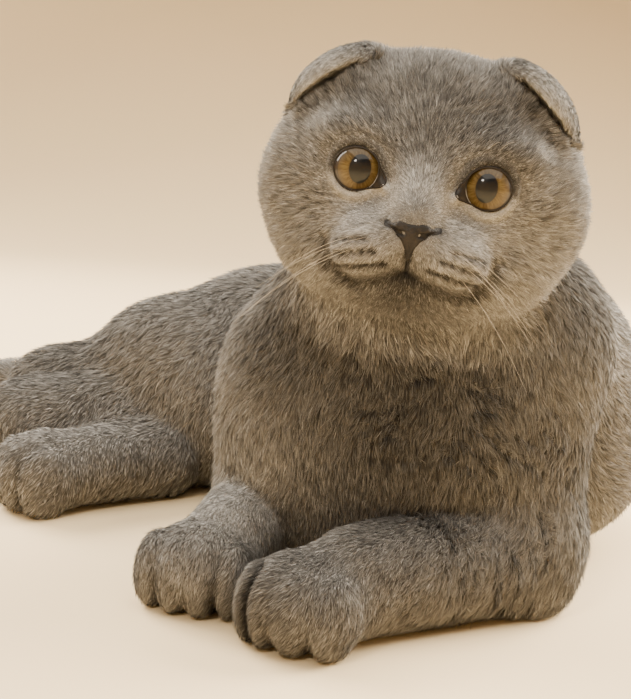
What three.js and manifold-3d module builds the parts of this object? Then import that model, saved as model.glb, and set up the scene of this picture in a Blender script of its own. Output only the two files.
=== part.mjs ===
// A scottish fold cat, life size: it lies with its chest up and its head turned to the viewer,
// both forelegs to its right and the hips rolled so that the hind legs lie to its right too.
// Millimetres, +Z up, the floor at Z = 0, the cat looking along -Y, its left side at +X.
// The origin is on the floor, in the middle of the flat that the brisket rests on.
import * as THREE from "three";
import { mergeVertices } from "three/addons/utils/BufferGeometryUtils.js";
import { triTable } from "three/addons/objects/MarchingCubes.js";
import Module from "manifold-3d";

// Driving dimensions, all of them out to the tips of the short coat
const HEAD_AT = [1, -22, 183];
const HEAD_ROLL = 4.2;
const HEAD_YAW = 6;
const EYE_RADIUS = 11.5;
const EYE_SPACING = 24.6;
const EYE_AT = [-27.6, -0.7];
const GAP = 0.3;
const HEAD_COLLAR = 5;
const EAR_ROOT_DEPTH = 4;
const BODY_STEP = 4.2;
const BODY_TRIANGLES = 5700;
const HEAD_STEP = 1.8;
const HEAD_TRIANGLES = 4900;
const HEAD_REGION_TRIANGLES = 300;
const EAR_REGION_TRIANGLES = 240;
const NOSE_REGION_TRIANGLES = 110;
const EYE_DETAIL = 4;
const REGION_STEP = 6.5;
const REGION_TRIANGLES = 150;
const HEAD_REGION_STEP = 6;
const EAR_REGION_STEP = 4.5;
const NOSE_REGION_STEP = 1.5;
const REGION_ROUNDING = 4;
const FLESH_OVER = 9;
const TAIL_ROOT_RADIUS = 29;
const TAIL_THINNING = 13;
const TAIL_CUTS = { base: 0.08, middle: 0.36, tip: 0.68 };
const LEFT = 1;
const RIGHT = -1;

// Shapes: each is a function of x, y and z that is negative inside and grows by about 1 a millimetre

function egg(centre, radii, turn = [0, 0, 0]) {
  const angles = turn.map((degrees) => THREE.MathUtils.degToRad(degrees));
  const m = new THREE.Matrix4().makeRotationFromEuler(new THREE.Euler(...angles)).elements;
  const [cx, cy, cz] = centre;
  const [rx, ry, rz] = radii;
  return (x, y, z) => {
    const dx = x - cx;
    const dy = y - cy;
    const dz = z - cz;
    const u = (m[0] * dx + m[1] * dy + m[2] * dz) / rx;
    const v = (m[4] * dx + m[5] * dy + m[6] * dz) / ry;
    const w = (m[8] * dx + m[9] * dy + m[10] * dz) / rz;
    const near = Math.sqrt(u * u + v * v + w * w);
    const slope = Math.sqrt((u * u) / (rx * rx) + (v * v) / (ry * ry) + (w * w) / (rz * rz));
    return slope > 1e-9 ? (near * (near - 1)) / slope : -Math.min(rx, ry, rz);
  };
}

function limb(from, to, fromRadius, toRadius) {
  const [ax, ay, az] = from;
  const [bx, by, bz] = [to[0] - ax, to[1] - ay, to[2] - az];
  const length2 = bx * bx + by * by + bz * bz;
  return (x, y, z) => {
    const dx = x - ax;
    const dy = y - ay;
    const dz = z - az;
    const t = Math.min(1, Math.max(0, (dx * bx + dy * by + dz * bz) / length2));
    const ex = dx - t * bx;
    const ey = dy - t * by;
    const ez = dz - t * bz;
    return Math.sqrt(ex * ex + ey * ey + ez * ez) - fromRadius - t * (toRadius - fromRadius);
  };
}

function soft(a, b, k) {
  const h = Math.max(k - Math.abs(a - b), 0) / k;
  return Math.min(a, b) - (h * h * k) / 4;
}

function blend(k, ...shapes) {
  return (x, y, z) => {
    let d = shapes[0](x, y, z);
    for (let i = 1; i < shapes.length; i++) d = soft(d, shapes[i](x, y, z), k);
    return d;
  };
}

function carve(k, shape, ...tools) {
  return (x, y, z) => {
    let d = shape(x, y, z);
    for (const tool of tools) d = -soft(-d, tool(x, y, z), k);
    return d;
  };
}

function chain(k, ...stops) {
  const links = [];
  for (let i = 1; i < stops.length; i++) {
    links.push(limb(stops[i - 1].at, stops[i].at, stops[i - 1].r, stops[i].r));
  }
  return blend(k, ...links);
}

function placed(shape, position, turn) {
  const angles = turn.map((degrees) => THREE.MathUtils.degToRad(degrees));
  const m = new THREE.Matrix4().makeRotationFromEuler(new THREE.Euler(...angles, "ZYX")).elements;
  const [px, py, pz] = position;
  return (x, y, z) => {
    const dx = x - px;
    const dy = y - py;
    const dz = z - pz;
    return shape(
      m[0] * dx + m[1] * dy + m[2] * dz,
      m[4] * dx + m[5] * dy + m[6] * dz,
      m[8] * dx + m[9] * dy + m[10] * dz,
    );
  };
}

// The head, in its own frame: X to its left, Y to the back, Z up, with 0 behind the eyes
function eyeball(side) {
  return egg([side * EYE_SPACING, ...EYE_AT], [EYE_RADIUS, EYE_RADIUS, EYE_RADIUS]);
}

function skull() {
  const sides = [LEFT, RIGHT];
  const base = blend(
    16,
    egg([0, 6, 7], [57, 42, 44]),
    ...sides.map((s) => egg([s * 30.5, 5, -10], [37.5, 35, 36])),
    egg([0, -7, -33], [52, 36, 26]),
  );
  const face = blend(
    9,
    egg([0, -32, -24], [25, 20, 14]),
    limb([0, -22, 8], [0, -46, -14], 15, 8.5),
    egg([0, -32.5, -38.5], [15, 14, 9.5]),
  );
  const pads = blend(5, ...sides.map((s) => egg([s * 13, -42, -29.3], [15.8, 12.4, 11], [0, s * 8, s * 18])));
  const brows = blend(6, ...sides.map((s) => egg([s * 25, -24, 12], [18, 12, 9])));
  const front = blend(6, blend(12, base, face), pads);
  const sockets = sides.map((s) => egg([s * 25.5, -41, -1], [13, 8, 12.5], [0, 0, s * 14]));
  const whole = carve(6, blend(10, front, brows), ...sockets);
  const nose = blend(2, limb([0, -47, -16], [0, -50.5, -20.5], 6.8, 5.6), ...sides.map(noseWing));
  const lids = sides.flatMap((s) => [
    ring([s * 25.2, -34.4, -0.7], 10.4, 1.5, [0, 0, s * 12]),
    limb([s * 16.2, -36.5, -4.2], [s * 12.6, -39.5, -6.6], 1.8, 1.2),
  ]);
  return scored(blend(2.5, whole, nose, ...lids), faceLines);
}

function noseWing(side) {
  return egg([side * 5.2, -50.5, -19], [3.6, 4.2, 3.4]);
}

// Soft grooves pressed into the face: each follows a line of [x, z] stops seen from the front
const faceLines = [
  { stops: [[0, -27], [0, -34]], depth: 1.6, width: 1.1 },
  { stops: [[0, -34], [-8, -37.3], [-17, -41.4], [-25, -40]], depth: 3, width: 1.5 },
  { stops: [[0, -34], [8, -37.3], [17, -41.4], [25, -40]], depth: 3, width: 1.5 },
  { stops: [[-4.4, -21.4], [-6.4, -19.2], [-9.4, -18.4]], depth: 2.4, width: 1 },
  { stops: [[4.4, -21.4], [6.4, -19.2], [9.4, -18.4]], depth: 2.4, width: 1 },
];

function scored(shape, lines) {
  return (x, y, z) => {
    const d = shape(x, y, z);
    if (y > -25 || Math.abs(x) > 32 || z > -10 || z < -50 || Math.abs(d) > 12) return d;
    let deepest = 0;
    for (const { stops, depth, width } of lines) {
      for (let i = 1; i < stops.length; i++) {
        const away = flatDistance(x, z, stops[i - 1], stops[i]) / width;
        deepest = Math.max(deepest, depth * Math.exp(-away * away));
      }
    }
    return d + deepest;
  };
}

function flatDistance(x, z, [ax, az], [bx, bz]) {
  const [ex, ez] = [bx - ax, bz - az];
  const t = Math.min(1, Math.max(0, ((x - ax) * ex + (z - az) * ez) / (ex * ex + ez * ez)));
  return Math.hypot(x - ax - t * ex, z - az - t * ez);
}

function ring(centre, radius, thickness, turn) {
  const flat = (x, y, z) => Math.hypot(Math.hypot(x, z) - radius, y) - thickness;
  return placed(flat, centre, turn);
}

function earHood(side) {
  const slope = 38;
  const lift = 2.2;
  const outer = egg([side * 40.5, -4, 30 + lift], [21.5, 18, 13], [0, side * slope, 0]);
  const root = egg([side * 34, 11, 27], [24, 20, 14], [0, side * (slope - 8), side * -10]);
  const inner = egg([side * 40, -13.5, 26.4 + lift], [18, 15.5, 6.4], [0, side * slope, 0]);
  const rim = limb([side * 27, -19, 33 + lift], [side * 53, -12, 14.5 + lift], 2.6, 2.6);
  return blend(3, carve(1.2, blend(9, outer, root), inner), rim);
}

const bareHead = skull();
const headLocal = blend(3, bareHead, earHood(LEFT), earHood(RIGHT));
const inHeadFrame = (shape) => placed(shape, HEAD_AT, [0, HEAD_ROLL, -HEAD_YAW]);
const headTurn = [0, HEAD_ROLL, -HEAD_YAW].map((degrees) => THREE.MathUtils.degToRad(degrees));
const headMatrix = new THREE.Matrix4()
  .makeRotationFromEuler(new THREE.Euler(...headTurn, "ZYX"))
  .setPosition(...HEAD_AT);
const head = inHeadFrame(headLocal);

// The neck and trunk
const neck = blend(
  20,
  egg([3, 8, 134], [54, 48, 44]),
  egg([10, 36, 122], [58, 44, 40]),
);
const torso = blend(
  28,
  egg([-2, 12, 78], [67, 54, 82], [0, 0, -20]),
  egg([-43, 34, 74], [35, 42, 54]),
  egg([56, 24, 116], [37, 42, 42]),
  egg([50, 92, 80], [77, 64, 72]),
  egg([68, 120, 42], [68, 80, 46]),
  egg([46, 144, 66], [77, 62, 68]),
  egg([4, 190, 72], [72, 56, 62]),
  egg([-54, 204, 64], [62, 48, 58]),
);

// The legs
function paw(centre, heading, length, width, height) {
  const turn = THREE.MathUtils.degToRad(heading);
  const spot = (across, along, up) => [
    centre[0] + across * Math.cos(turn) + along * Math.sin(turn),
    centre[1] + across * Math.sin(turn) - along * Math.cos(turn),
    centre[2] + up,
  ];
  const toes = [-1.5, -0.5, 0.5, 1.5].map((place) => {
    const ahead = length * (Math.abs(place) > 1 ? 0.32 : 0.5);
    const toe = [width * 0.32, length * 0.5, height * 0.74];
    return egg(spot(place * width * 0.5, ahead, -height * 0.2), toe, [0, 0, heading]);
  });
  return blend(4, egg(centre, [width, length, height], [0, 0, heading]), blend(2.5, ...toes));
}

const legs = {
  left_foreleg: {
    joint: [60, 0, 40],
    root: chain(16, { at: [54, 12, 104], r: 31 }, { at: [57, 0, 36], r: 28 }),
    shank: blend(
      10,
      chain(12, { at: [57, -6, 26], r: 27.5 }, { at: [-14, -56, 22], r: 22.5 }),
      egg([57, -5, 15], [25, 24, 22]),
    ),
    foot: paw([-33, -69, 17.5], -40, 25, 26, 19.5),
    ankle: { at: [-14, -55, 20], toward: [-0.75, -0.66, 0] },
  },
  right_foreleg: {
    joint: [-56, 44, 40],
    root: chain(16, { at: [-43, 40, 90], r: 30 }, { at: [-50, 44, 40], r: 27 }),
    shank: chain(12, { at: [-50, 38, 27], r: 27 }, { at: [-69, -17, 22], r: 19.5 }),
    foot: paw([-78, -36, 17], -16, 23, 24, 19),
    ankle: { at: [-74, -16, 20], toward: [-0.33, -0.94, 0] },
  },
  right_hindleg: {
    joint: [-80, 175, 60],
    root: blend(
      18,
      egg([-110, 170, 50], [60, 46, 55], [0, 12, -20]),
      egg([-76, 186, 62], [50, 46, 54]),
      egg([-162, 176, 38], [50, 38, 33], [0, 14, 0]),
    ),
    shank: blend(
      10,
      chain(
        16,
        { at: [-110, 166, 44], r: 36 },
        { at: [-188, 144, 26], r: 28 },
        { at: [-120, 134, 21], r: 22 },
      ),
      chain(10, { at: [-116, 132, 20], r: 21 }, { at: [-150, 102, 20], r: 20.5 }),
    ),
    foot: paw([-169, 88, 19], -54, 26, 24, 22),
    ankle: { at: [-150, 101, 20], toward: [-0.8, -0.6, 0] },
    whole: true,
  },
  left_hindleg: {
    joint: [-50, 180, 30],
    root: egg([-56, 180, 34], [50, 40, 36]),
    shank: chain(14, { at: [-76, 166, 22], r: 24 }, { at: [-64, 128, 17], r: 18 }),
    foot: paw([-54, 104, 14], -20, 21, 18, 15),
    ankle: { at: [-61, 120, 15], toward: [0.3, -0.95, 0] },
  },
};

// The tail follows a curve, thick at its root and blunt at its tip
const tailCurve = new THREE.CubicBezierCurve3(
  new THREE.Vector3(-84, 220, 46),
  new THREE.Vector3(-146, 262, 12),
  new THREE.Vector3(-186, 334, 17),
  new THREE.Vector3(-266, 334, 15),
);
const TAIL_STOPS = 9;
const tail = Array.from({ length: TAIL_STOPS + 1 }, (_, i) => {
  const along = i / TAIL_STOPS;
  return { at: tailCurve.getPoint(along).toArray(), r: TAIL_ROOT_RADIUS - TAIL_THINNING * Math.sqrt(along) };
});

const wholeTail = chain(6, ...tail);
for (const leg of Object.values(legs)) leg.limb = blend(8, leg.shank, leg.foot);

// The whole coat's outer surface: soft where a leg grows from the trunk, and creased where it
// only lies against it
function wholeBody(x, y, z) {
  let d = soft(head(x, y, z), neck(x, y, z), 8);
  d = soft(d, torso(x, y, z), 18);
  for (const leg of Object.values(legs)) d = soft(d, leg.root(x, y, z), 22);
  for (const leg of Object.values(legs)) {
    const [jx, jy, jz] = leg.joint;
    const away2 = (x - jx) ** 2 + (y - jy) ** 2 + (z - jz) ** 2;
    d = soft(d, leg.limb(x, y, z), 3 + 14 * Math.exp(-away2 / 1800));
  }
  return soft(d, wholeTail(x, y, z), 12);
}

// Meshing: a marched surface, thinned by collapsing its least needed edges
function marched(shape, low, high, step) {
  const counts = [0, 1, 2].map((i) => Math.ceil((high[i] - low[i]) / step) + 1);
  const [nx, ny, nz] = counts;
  const values = new Float64Array(nx * ny * nz);
  const least = 0.03 * step;
  for (let k = 0, q = 0; k < nz; k++) {
    for (let j = 0; j < ny; j++) {
      for (let i = 0; i < nx; i++, q++) {
        const rim = i === 0 || j === 0 || k === 0 || i === nx - 1 || j === ny - 1 || k === nz - 1;
        const value = rim ? step : shape(low[0] + i * step, low[1] + j * step, low[2] + k * step);
        values[q] = Math.abs(value) < least ? (value < 0 ? -least : least) : value;
      }
    }
  }
  const hops = [1, nx, nx * ny];
  const made = new Map();
  const points = [];
  const faces = [];
  const pointOn = (q, axis) => {
    const key = q * 3 + axis;
    if (!made.has(key)) {
      const t = values[q] / (values[q] - values[q + hops[axis]]);
      const spot = [q % nx, Math.floor(q / nx) % ny, Math.floor(q / (nx * ny))];
      spot[axis] += t;
      made.set(key, points.length / 3);
      points.push(low[0] + spot[0] * step, low[1] + spot[1] * step, low[2] + spot[2] * step);
    }
    return made.get(key);
  };
  const [dx, dy, dz] = hops;
  const corners = [0, dx, dx + dy, dy, dz, dx + dz, dx + dy + dz, dy + dz];
  const edges = [
    [0, 0], [dx, 1], [dy, 0], [0, 1], [dz, 0], [dx + dz, 1],
    [dy + dz, 0], [dz, 1], [0, 2], [dx, 2], [dx + dy, 2], [dy, 2],
  ];
  for (let k = 0; k < nz - 1; k++) {
    for (let j = 0; j < ny - 1; j++) {
      for (let i = 0; i < nx - 1; i++) {
        const q = i + nx * (j + ny * k);
        let kind = 0;
        corners.forEach((hop, bit) => {
          if (values[q + hop] < 0) kind |= 1 << bit;
        });
        for (let n = kind * 16; triTable[n] !== -1; n++) {
          const [hop, axis] = edges[triTable[n]];
          faces.push(pointOn(q + hop, axis));
        }
      }
    }
  }
  return facingOut({ points, faces });
}

function facingOut({ points, faces }) {
  let volume = 0;
  for (let f = 0; f < faces.length; f += 3) {
    const [a, b, c] = [faces[f] * 3, faces[f + 1] * 3, faces[f + 2] * 3];
    volume +=
      points[a] * (points[b + 1] * points[c + 2] - points[b + 2] * points[c + 1]) +
      points[a + 1] * (points[b + 2] * points[c] - points[b] * points[c + 2]) +
      points[a + 2] * (points[b] * points[c + 1] - points[b + 1] * points[c]);
  }
  if (volume > 0) return { points, faces };
  const flipped = faces.map((_, n) => faces[n % 3 === 2 ? n : n + (n % 3 === 0 ? 1 : -1)]);
  return { points, faces: flipped };
}

function crossOf(p, a, b, c) {
  const [ux, uy, uz] = [p[b] - p[a], p[b + 1] - p[a + 1], p[b + 2] - p[a + 2]];
  const [vx, vy, vz] = [p[c] - p[a], p[c + 1] - p[a + 1], p[c + 2] - p[a + 2]];
  return [uy * vz - uz * vy, uz * vx - ux * vz, ux * vy - uy * vx];
}

// Each point carries the sum of its faces' planes as ten numbers, and an edge costs what its new
// point strays from them. A collapse may not turn a face far or leave it a sliver.
const LEAST_TURN_COSINE = 0.5;
const LEAST_FACE_HEIGHT = 0.12;
const LENGTH_COST = 2e-3;
const HOLD_TO_MIDDLE = 1e-3;

function thinned({ points, faces }, wanted, care) {
  const p = Float64Array.from(points);
  const tri = Int32Array.from(faces);
  const count = p.length / 3;
  const planes = new Float64Array(count * 10);
  const around = Array.from({ length: count }, () => []);
  for (let f = 0; f < tri.length; f += 3) {
    const [nx, ny, nz] = crossOf(p, tri[f] * 3, tri[f + 1] * 3, tri[f + 2] * 3);
    const area = Math.hypot(nx, ny, nz) || 1e-12;
    const [a, b, c] = [nx / area, ny / area, nz / area];
    const d = -(a * p[tri[f] * 3] + b * p[tri[f] * 3 + 1] + c * p[tri[f] * 3 + 2]);
    const terms = [a * a, a * b, a * c, a * d, b * b, b * c, b * d, c * c, c * d, d * d];
    for (let i = 0; i < 3; i++) {
      const at = tri[f + i] * 10;
      for (let n = 0; n < 10; n++) planes[at + n] += terms[n] * area;
      around[tri[f + i]].push(f);
    }
  }
  const stray = (q, x, y, z) =>
    q[0] * x * x + 2 * q[1] * x * y + 2 * q[2] * x * z + 2 * q[3] * x +
    q[4] * y * y + 2 * q[5] * y * z + 2 * q[6] * y + q[7] * z * z + 2 * q[8] * z + q[9];
  const q = new Float64Array(10);
  const meeting = (a, b) => {
    for (let n = 0; n < 10; n++) q[n] = planes[a * 10 + n] + planes[b * 10 + n];
    const middle = [0, 1, 2].map((i) => (p[a * 3 + i] + p[b * 3 + i]) / 2);
    const length2 = [0, 1, 2].reduce((sum, i) => sum + (p[a * 3 + i] - p[b * 3 + i]) ** 2, 0);
    const hold = HOLD_TO_MIDDLE * (q[0] + q[4] + q[7]);
    const rows = [q[0] + hold, q[1], q[2], q[1], q[4] + hold, q[5], q[2], q[5], q[7] + hold];
    const m = new THREE.Matrix3().set(...rows);
    const pull = new THREE.Vector3(...middle).multiplyScalar(hold).sub(new THREE.Vector3(q[3], q[6], q[8]));
    let spot = middle;
    if (Math.abs(m.determinant()) > 1e-12) spot = pull.applyMatrix3(m.invert()).toArray();
    const drift2 = spot.reduce((sum, value, i) => sum + (value - middle[i]) ** 2, 0);
    if (drift2 > length2) spot = middle;
    return { a, b, spot, cost: care(...spot) * (stray(q, ...spot) + LENGTH_COST * length2 * length2) };
  };
  const heap = [];
  const before = (i, j) => heap[i].cost < heap[j].cost;
  const swap = (i, j) => ([heap[i], heap[j]] = [heap[j], heap[i]]);
  const push = (entry) => {
    heap.push(entry);
    for (let i = heap.length - 1; i > 0 && before(i, (i - 1) >> 1); i = (i - 1) >> 1) swap(i, (i - 1) >> 1);
  };
  const pop = () => {
    swap(0, heap.length - 1);
    const top = heap.pop();
    for (let i = 0; ; ) {
      let least = i;
      if (2 * i + 1 < heap.length && before(2 * i + 1, least)) least = 2 * i + 1;
      if (2 * i + 2 < heap.length && before(2 * i + 2, least)) least = 2 * i + 2;
      if (least === i) return top;
      swap(i, least);
      i = least;
    }
  };
  const stamps = new Int32Array(count);
  const offer = (a, b) => {
    const entry = meeting(Math.min(a, b), Math.max(a, b));
    entry.stamp = stamps[a] + stamps[b];
    push(entry);
  };
  const nextTo = (v) => {
    const near = new Set();
    for (const f of around[v]) for (let i = 0; i < 3; i++) if (tri[f + i] !== v) near.add(tri[f + i]);
    return near;
  };
  for (let v = 0; v < count; v++) for (const w of nextTo(v)) if (w > v) offer(v, w);
  const turns = (v, gone, spot) => {
    for (const f of around[v]) {
      const ids = [tri[f], tri[f + 1], tri[f + 2]];
      if (ids.includes(gone)) continue;
      const old = crossOf(p, ...ids.map((id) => id * 3));
      const local = ids.flatMap((id) => (id === v ? spot : [p[id * 3], p[id * 3 + 1], p[id * 3 + 2]]));
      const now = crossOf(local, 0, 3, 6);
      const size = Math.hypot(...old) * Math.hypot(...now);
      const longest2 = Math.max(...[0, 3, 6].map((i) => {
        const j = (i + 3) % 9;
        return [0, 1, 2].reduce((sum, k) => sum + (local[i + k] - local[j + k]) ** 2, 0);
      }));
      const along = old[0] * now[0] + old[1] * now[1] + old[2] * now[2];
      if (along < LEAST_TURN_COSINE * size) return true;
      if (Math.hypot(...now) < LEAST_FACE_HEIGHT * longest2) return true;
    }
    return false;
  };
  let left = tri.length / 3;
  while (left > wanted && heap.length) {
    const { a, b, spot, stamp } = pop();
    if (stamps[a] < 0 || stamps[b] < 0 || stamp !== stamps[a] + stamps[b]) continue;
    const nearB = nextTo(b);
    const shared = [...nextTo(a)].filter((v) => nearB.has(v));
    if (shared.length !== 2 || turns(a, b, spot) || turns(b, a, spot)) continue;
    for (let i = 0; i < 3; i++) p[a * 3 + i] = spot[i];
    for (let n = 0; n < 10; n++) planes[a * 10 + n] += planes[b * 10 + n];
    for (const f of around[b]) {
      const ids = [tri[f], tri[f + 1], tri[f + 2]];
      if (ids.includes(a)) {
        for (const id of ids) if (id !== b) around[id] = around[id].filter((g) => g !== f);
        tri[f] = -1;
        left--;
      } else {
        tri[f + ids.indexOf(b)] = a;
        around[a].push(f);
      }
    }
    around[b] = [];
    stamps[b] = -1;
    stamps[a] += 1;
    for (const v of nextTo(a)) offer(a, v);
  }
  const kept = new Map();
  const out = { points: [], faces: [] };
  for (let f = 0; f < tri.length; f += 3) {
    if (tri[f] < 0) continue;
    for (let i = 0; i < 3; i++) {
      const id = tri[f + i];
      if (!kept.has(id)) {
        kept.set(id, out.points.length / 3);
        out.points.push(p[id * 3], p[id * 3 + 1], p[id * 3 + 2]);
      }
      out.faces.push(kept.get(id));
    }
  }
  return out;
}

// Moves every point onto the true surface after thinning
function seated({ points, faces }, shape) {
  const reach = 0.2;
  const farthest = 1.5;
  const leastSteep2 = 0.25;
  for (let v = 0; v < points.length; v += 3) {
    const [x, y, z] = points.slice(v, v + 3);
    const d = shape(x, y, z);
    const gradient = [
      (shape(x + reach, y, z) - shape(x - reach, y, z)) / (2 * reach),
      (shape(x, y + reach, z) - shape(x, y - reach, z)) / (2 * reach),
      (shape(x, y, z + reach) - shape(x, y, z - reach)) / (2 * reach),
    ];
    const steep2 = gradient.reduce((sum, g) => sum + g * g, 0);
    const move = Math.abs(d) < farthest && steep2 > leastSteep2 ? d / steep2 : 0;
    for (let i = 0; i < 3; i++) points[v + i] -= gradient[i] * move;
  }
  return { points, faces };
}

const { Manifold, Mesh } = await Module().then((wasm) => {
  wasm.setup();
  return wasm;
});

function solidOf({ points, faces }) {
  return new Manifold(new Mesh({
    numProp: 3,
    vertProperties: Float32Array.from(points),
    triVerts: Uint32Array.from(faces),
  }));
}

function grown({ points, faces }, distance) {
  const normals = new Float64Array(points.length);
  for (let f = 0; f < faces.length; f += 3) {
    const cross = crossOf(points, faces[f] * 3, faces[f + 1] * 3, faces[f + 2] * 3);
    for (let i = 0; i < 3; i++) for (let n = 0; n < 3; n++) normals[faces[f + i] * 3 + n] += cross[n];
  }
  const moved = points.map((value, n) => {
    const v = n - (n % 3);
    return value + (normals[n] / Math.hypot(normals[v], normals[v + 1], normals[v + 2])) * distance;
  });
  return { points: moved, faces };
}

function largest(solid) {
  const bodies = solid.decompose();
  return bodies.reduce((best, body) => (body.volume() > best.volume() ? body : best));
}

function shellOf(geometry) {
  geometry.deleteAttribute("uv");
  geometry.deleteAttribute("normal");
  const welded = mergeVertices(geometry, 1e-4);
  return { points: Array.from(welded.attributes.position.array), faces: Array.from(welded.index.array) };
}

function surface(shape, { low, high, step }, triangles, care = () => 1) {
  return seated(thinned(marched(shape, low, high, step), triangles, care), shape);
}

// Parting: each piece is what lies in its own region, and the rest stands off that region by the gap
const parts = new Map();

function part(rest, name, region) {
  parts.set(name, largest(rest.intersect(solidOf(region))));
  return rest.subtract(solidOf(grown(region, GAP)));
}

const softMost = (a, b) => -soft(-a, -b, REGION_ROUNDING);
const both = (...shapes) => (x, y, z) => shapes.map((shape) => shape(x, y, z)).reduce(softMost);
const either = (...shapes) => (x, y, z) => Math.min(...shapes.map((shape) => shape(x, y, z)));
const wider = (shape, by) => (x, y, z) => shape(x, y, z) - by;
const nearerTo = (one, other) => (x, y, z) => one(x, y, z) - other(x, y, z);
const beyond = ([px, py, pz], [nx, ny, nz]) => {
  const size = Math.hypot(nx, ny, nz);
  return (x, y, z) => -((x - px) * nx + (y - py) * ny + (z - pz) * nz) / size;
};

// How much each place of the head matters when it is thinned: most at the lids, nose and lips
const FACE_SPOTS = [
  { at: [EYE_SPACING, -34, -1], size: 14 },
  { at: [-EYE_SPACING, -34, -1], size: 14 },
  { at: [0, -50, -20], size: 10 },
  { at: [0, -44, -38], size: 22 },
];
const SPOT_CARE = 9;
const BACK_CARE = 0.35;
const faceCare = inHeadFrame((x, y, z) => {
  const base = y < 0 ? 1 : BACK_CARE;
  return FACE_SPOTS.reduce((care, { at, size }) => {
    const away2 = (x - at[0]) ** 2 + (y - at[1]) ** 2 + (z - at[2]) ** 2;
    return care + SPOT_CARE * Math.exp(-away2 / size ** 2);
  }, base);
});

const everywhere = { low: [-300, -116, -12], high: [156, 372, 248], step: BODY_STEP };
const headRoom = { low: [-78, -96, 96], high: [80, 52, 244], step: HEAD_STEP };
const floor = new THREE.BoxGeometry(700, 700, 60).translate(-60, 120, -30);

const headRegionRoom = { ...headRoom, step: HEAD_REGION_STEP };
const headRegion = surface(wider(head, HEAD_COLLAR), headRegionRoom, HEAD_REGION_TRIANGLES);
const headAndCollar = both(wholeBody, wider(head, 2 * HEAD_COLLAR + 2));
const fineHead = surface(headAndCollar, headRoom, HEAD_TRIANGLES, faceCare);
const body = surface(wholeBody, everywhere, BODY_TRIANGLES);

let rest = solidOf(body).subtract(solidOf(shellOf(floor)));
let headRest = largest(solidOf(fineHead).intersect(solidOf(headRegion)));
rest = rest.subtract(solidOf(grown(headRegion, GAP)));

for (const [name, side] of [["left", LEFT], ["right", RIGHT]]) {
  const ball = new THREE.IcosahedronGeometry(EYE_RADIUS, EYE_DETAIL);
  const pocket = new THREE.IcosahedronGeometry(EYE_RADIUS + GAP, EYE_DETAIL);
  const [ex, ey, ez] = [side * EYE_SPACING, ...EYE_AT];
  for (const shape of [ball, pocket]) shape.translate(ex, ey, ez).applyMatrix4(headMatrix);
  parts.set(`eye_${name}`, solidOf(shellOf(ball)));
  headRest = headRest.subtract(solidOf(shellOf(pocket)));
  const around = egg([side * 41, 4, 31], [27, 31, 23], [0, side * 38, 0]);
  const outward = (x, y, z) => -EAR_ROOT_DEPTH - bareHead(x, y, z);
  const earRoom = { ...headRoom, step: EAR_REGION_STEP };
  const earRegion = surface(inHeadFrame(both(around, outward)), earRoom, EAR_REGION_TRIANGLES);
  headRest = part(headRest, `ear_${name}`, earRegion);
}

const leather = both(
  (x, y, z) => z + 14.2,
  (x, y, z) => 0.79 * (Math.abs(x) - 9.6) - 0.61 * (z + 16.5),
  (x, y) => y + 50,
  (x, y) => -62 - y,
);
const noseRoom = { low: [-20, -90, 140], high: [20, -60, 180], step: NOSE_REGION_STEP };
const noseRegion = surface(inHeadFrame(leather), noseRoom, NOSE_REGION_TRIANGLES);
headRest = part(headRest, "nose", noseRegion);
parts.set("head", largest(headRest));

const trunk = either(neck, torso);
const cut = (name, shape, low, high) => {
  rest = part(rest, name, surface(shape, { low, high, step: REGION_STEP }, REGION_TRIANGLES));
};
const tailCut = (along) => beyond(tailCurve.getPoint(along).toArray(), tailCurve.getTangent(along).toArray());
const tailRoom = [[-300, 200, -12], [-60, 372, 100]];
for (const stretch of ["tip", "middle", "base"]) {
  cut(`tail_${stretch}`, both(wider(wholeTail, FLESH_OVER), tailCut(TAIL_CUTS[stretch])), ...tailRoom);
}

const rooms = {
  left_foreleg: [[-80, -116, -12], [110, 50, 90]],
  right_foreleg: [[-120, -80, -12], [0, 90, 90]],
  right_hindleg: [[-240, 50, -12], [-20, 250, 120]],
  left_hindleg: [[-110, 60, -12], [0, 220, 80]],
};
for (const [name, leg] of Object.entries(legs)) {
  const [side, kind] = name.split("_");
  const ankle = beyond(leg.ankle.at, leg.ankle.toward);
  cut(`${kind.replace("leg", "paw")}_${side}`, both(wider(leg.foot, FLESH_OVER), ankle), ...rooms[name]);
  const own = leg.whole ? either(leg.root, leg.limb) : leg.limb;
  const other = leg.whole ? trunk : either(trunk, leg.root);
  cut(`${kind}_${side}`, both(wider(own, FLESH_OVER), nearerTo(own, other)), ...rooms[name]);
}
cut("neck", both(wider(trunk, 12), beyond([0, 0, 128], [0, -0.42, 1])), [-80, -60, 90], [110, 110, 200]);
parts.set("torso", largest(rest));

// Finishes
const finishes = {
  coat: new THREE.MeshStandardMaterial({ color: 0x7d7a74, roughness: 0.95 }),
  eye: new THREE.MeshStandardMaterial({ color: 0xb47a24, roughness: 0.08 }),
  nose: new THREE.MeshStandardMaterial({ color: 0x4a4a4f, roughness: 0.6 }),
};

const cat = new THREE.Group();
cat.name = "scottish_fold_cat";
for (const [name, solid] of parts) {
  const mesh = solid.getMesh();
  const geometry = new THREE.BufferGeometry();
  geometry.setAttribute("position", new THREE.BufferAttribute(mesh.vertProperties, 3));
  geometry.setIndex(new THREE.BufferAttribute(mesh.triVerts, 1));
  geometry.computeVertexNormals();
  const finish = finishes[name.split("_")[0]] ?? finishes.coat;
  const named = new THREE.Mesh(geometry, finish);
  named.name = name;
  cat.add(named);
}

export default cat;
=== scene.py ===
"""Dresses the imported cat: one skin under a plush coat, with its eyes, nose leather and whiskers.

Forms are worked out in millimetres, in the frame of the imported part: +Z up from the floor, the cat
looking along -Y and its left side at +X. Meshes are written in metres.
"""
import logging
import math
from dataclasses import dataclass, field, fields
from enum import Enum
from functools import reduce
from typing import Callable, Iterable, Optional, Sequence, Union

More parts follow.
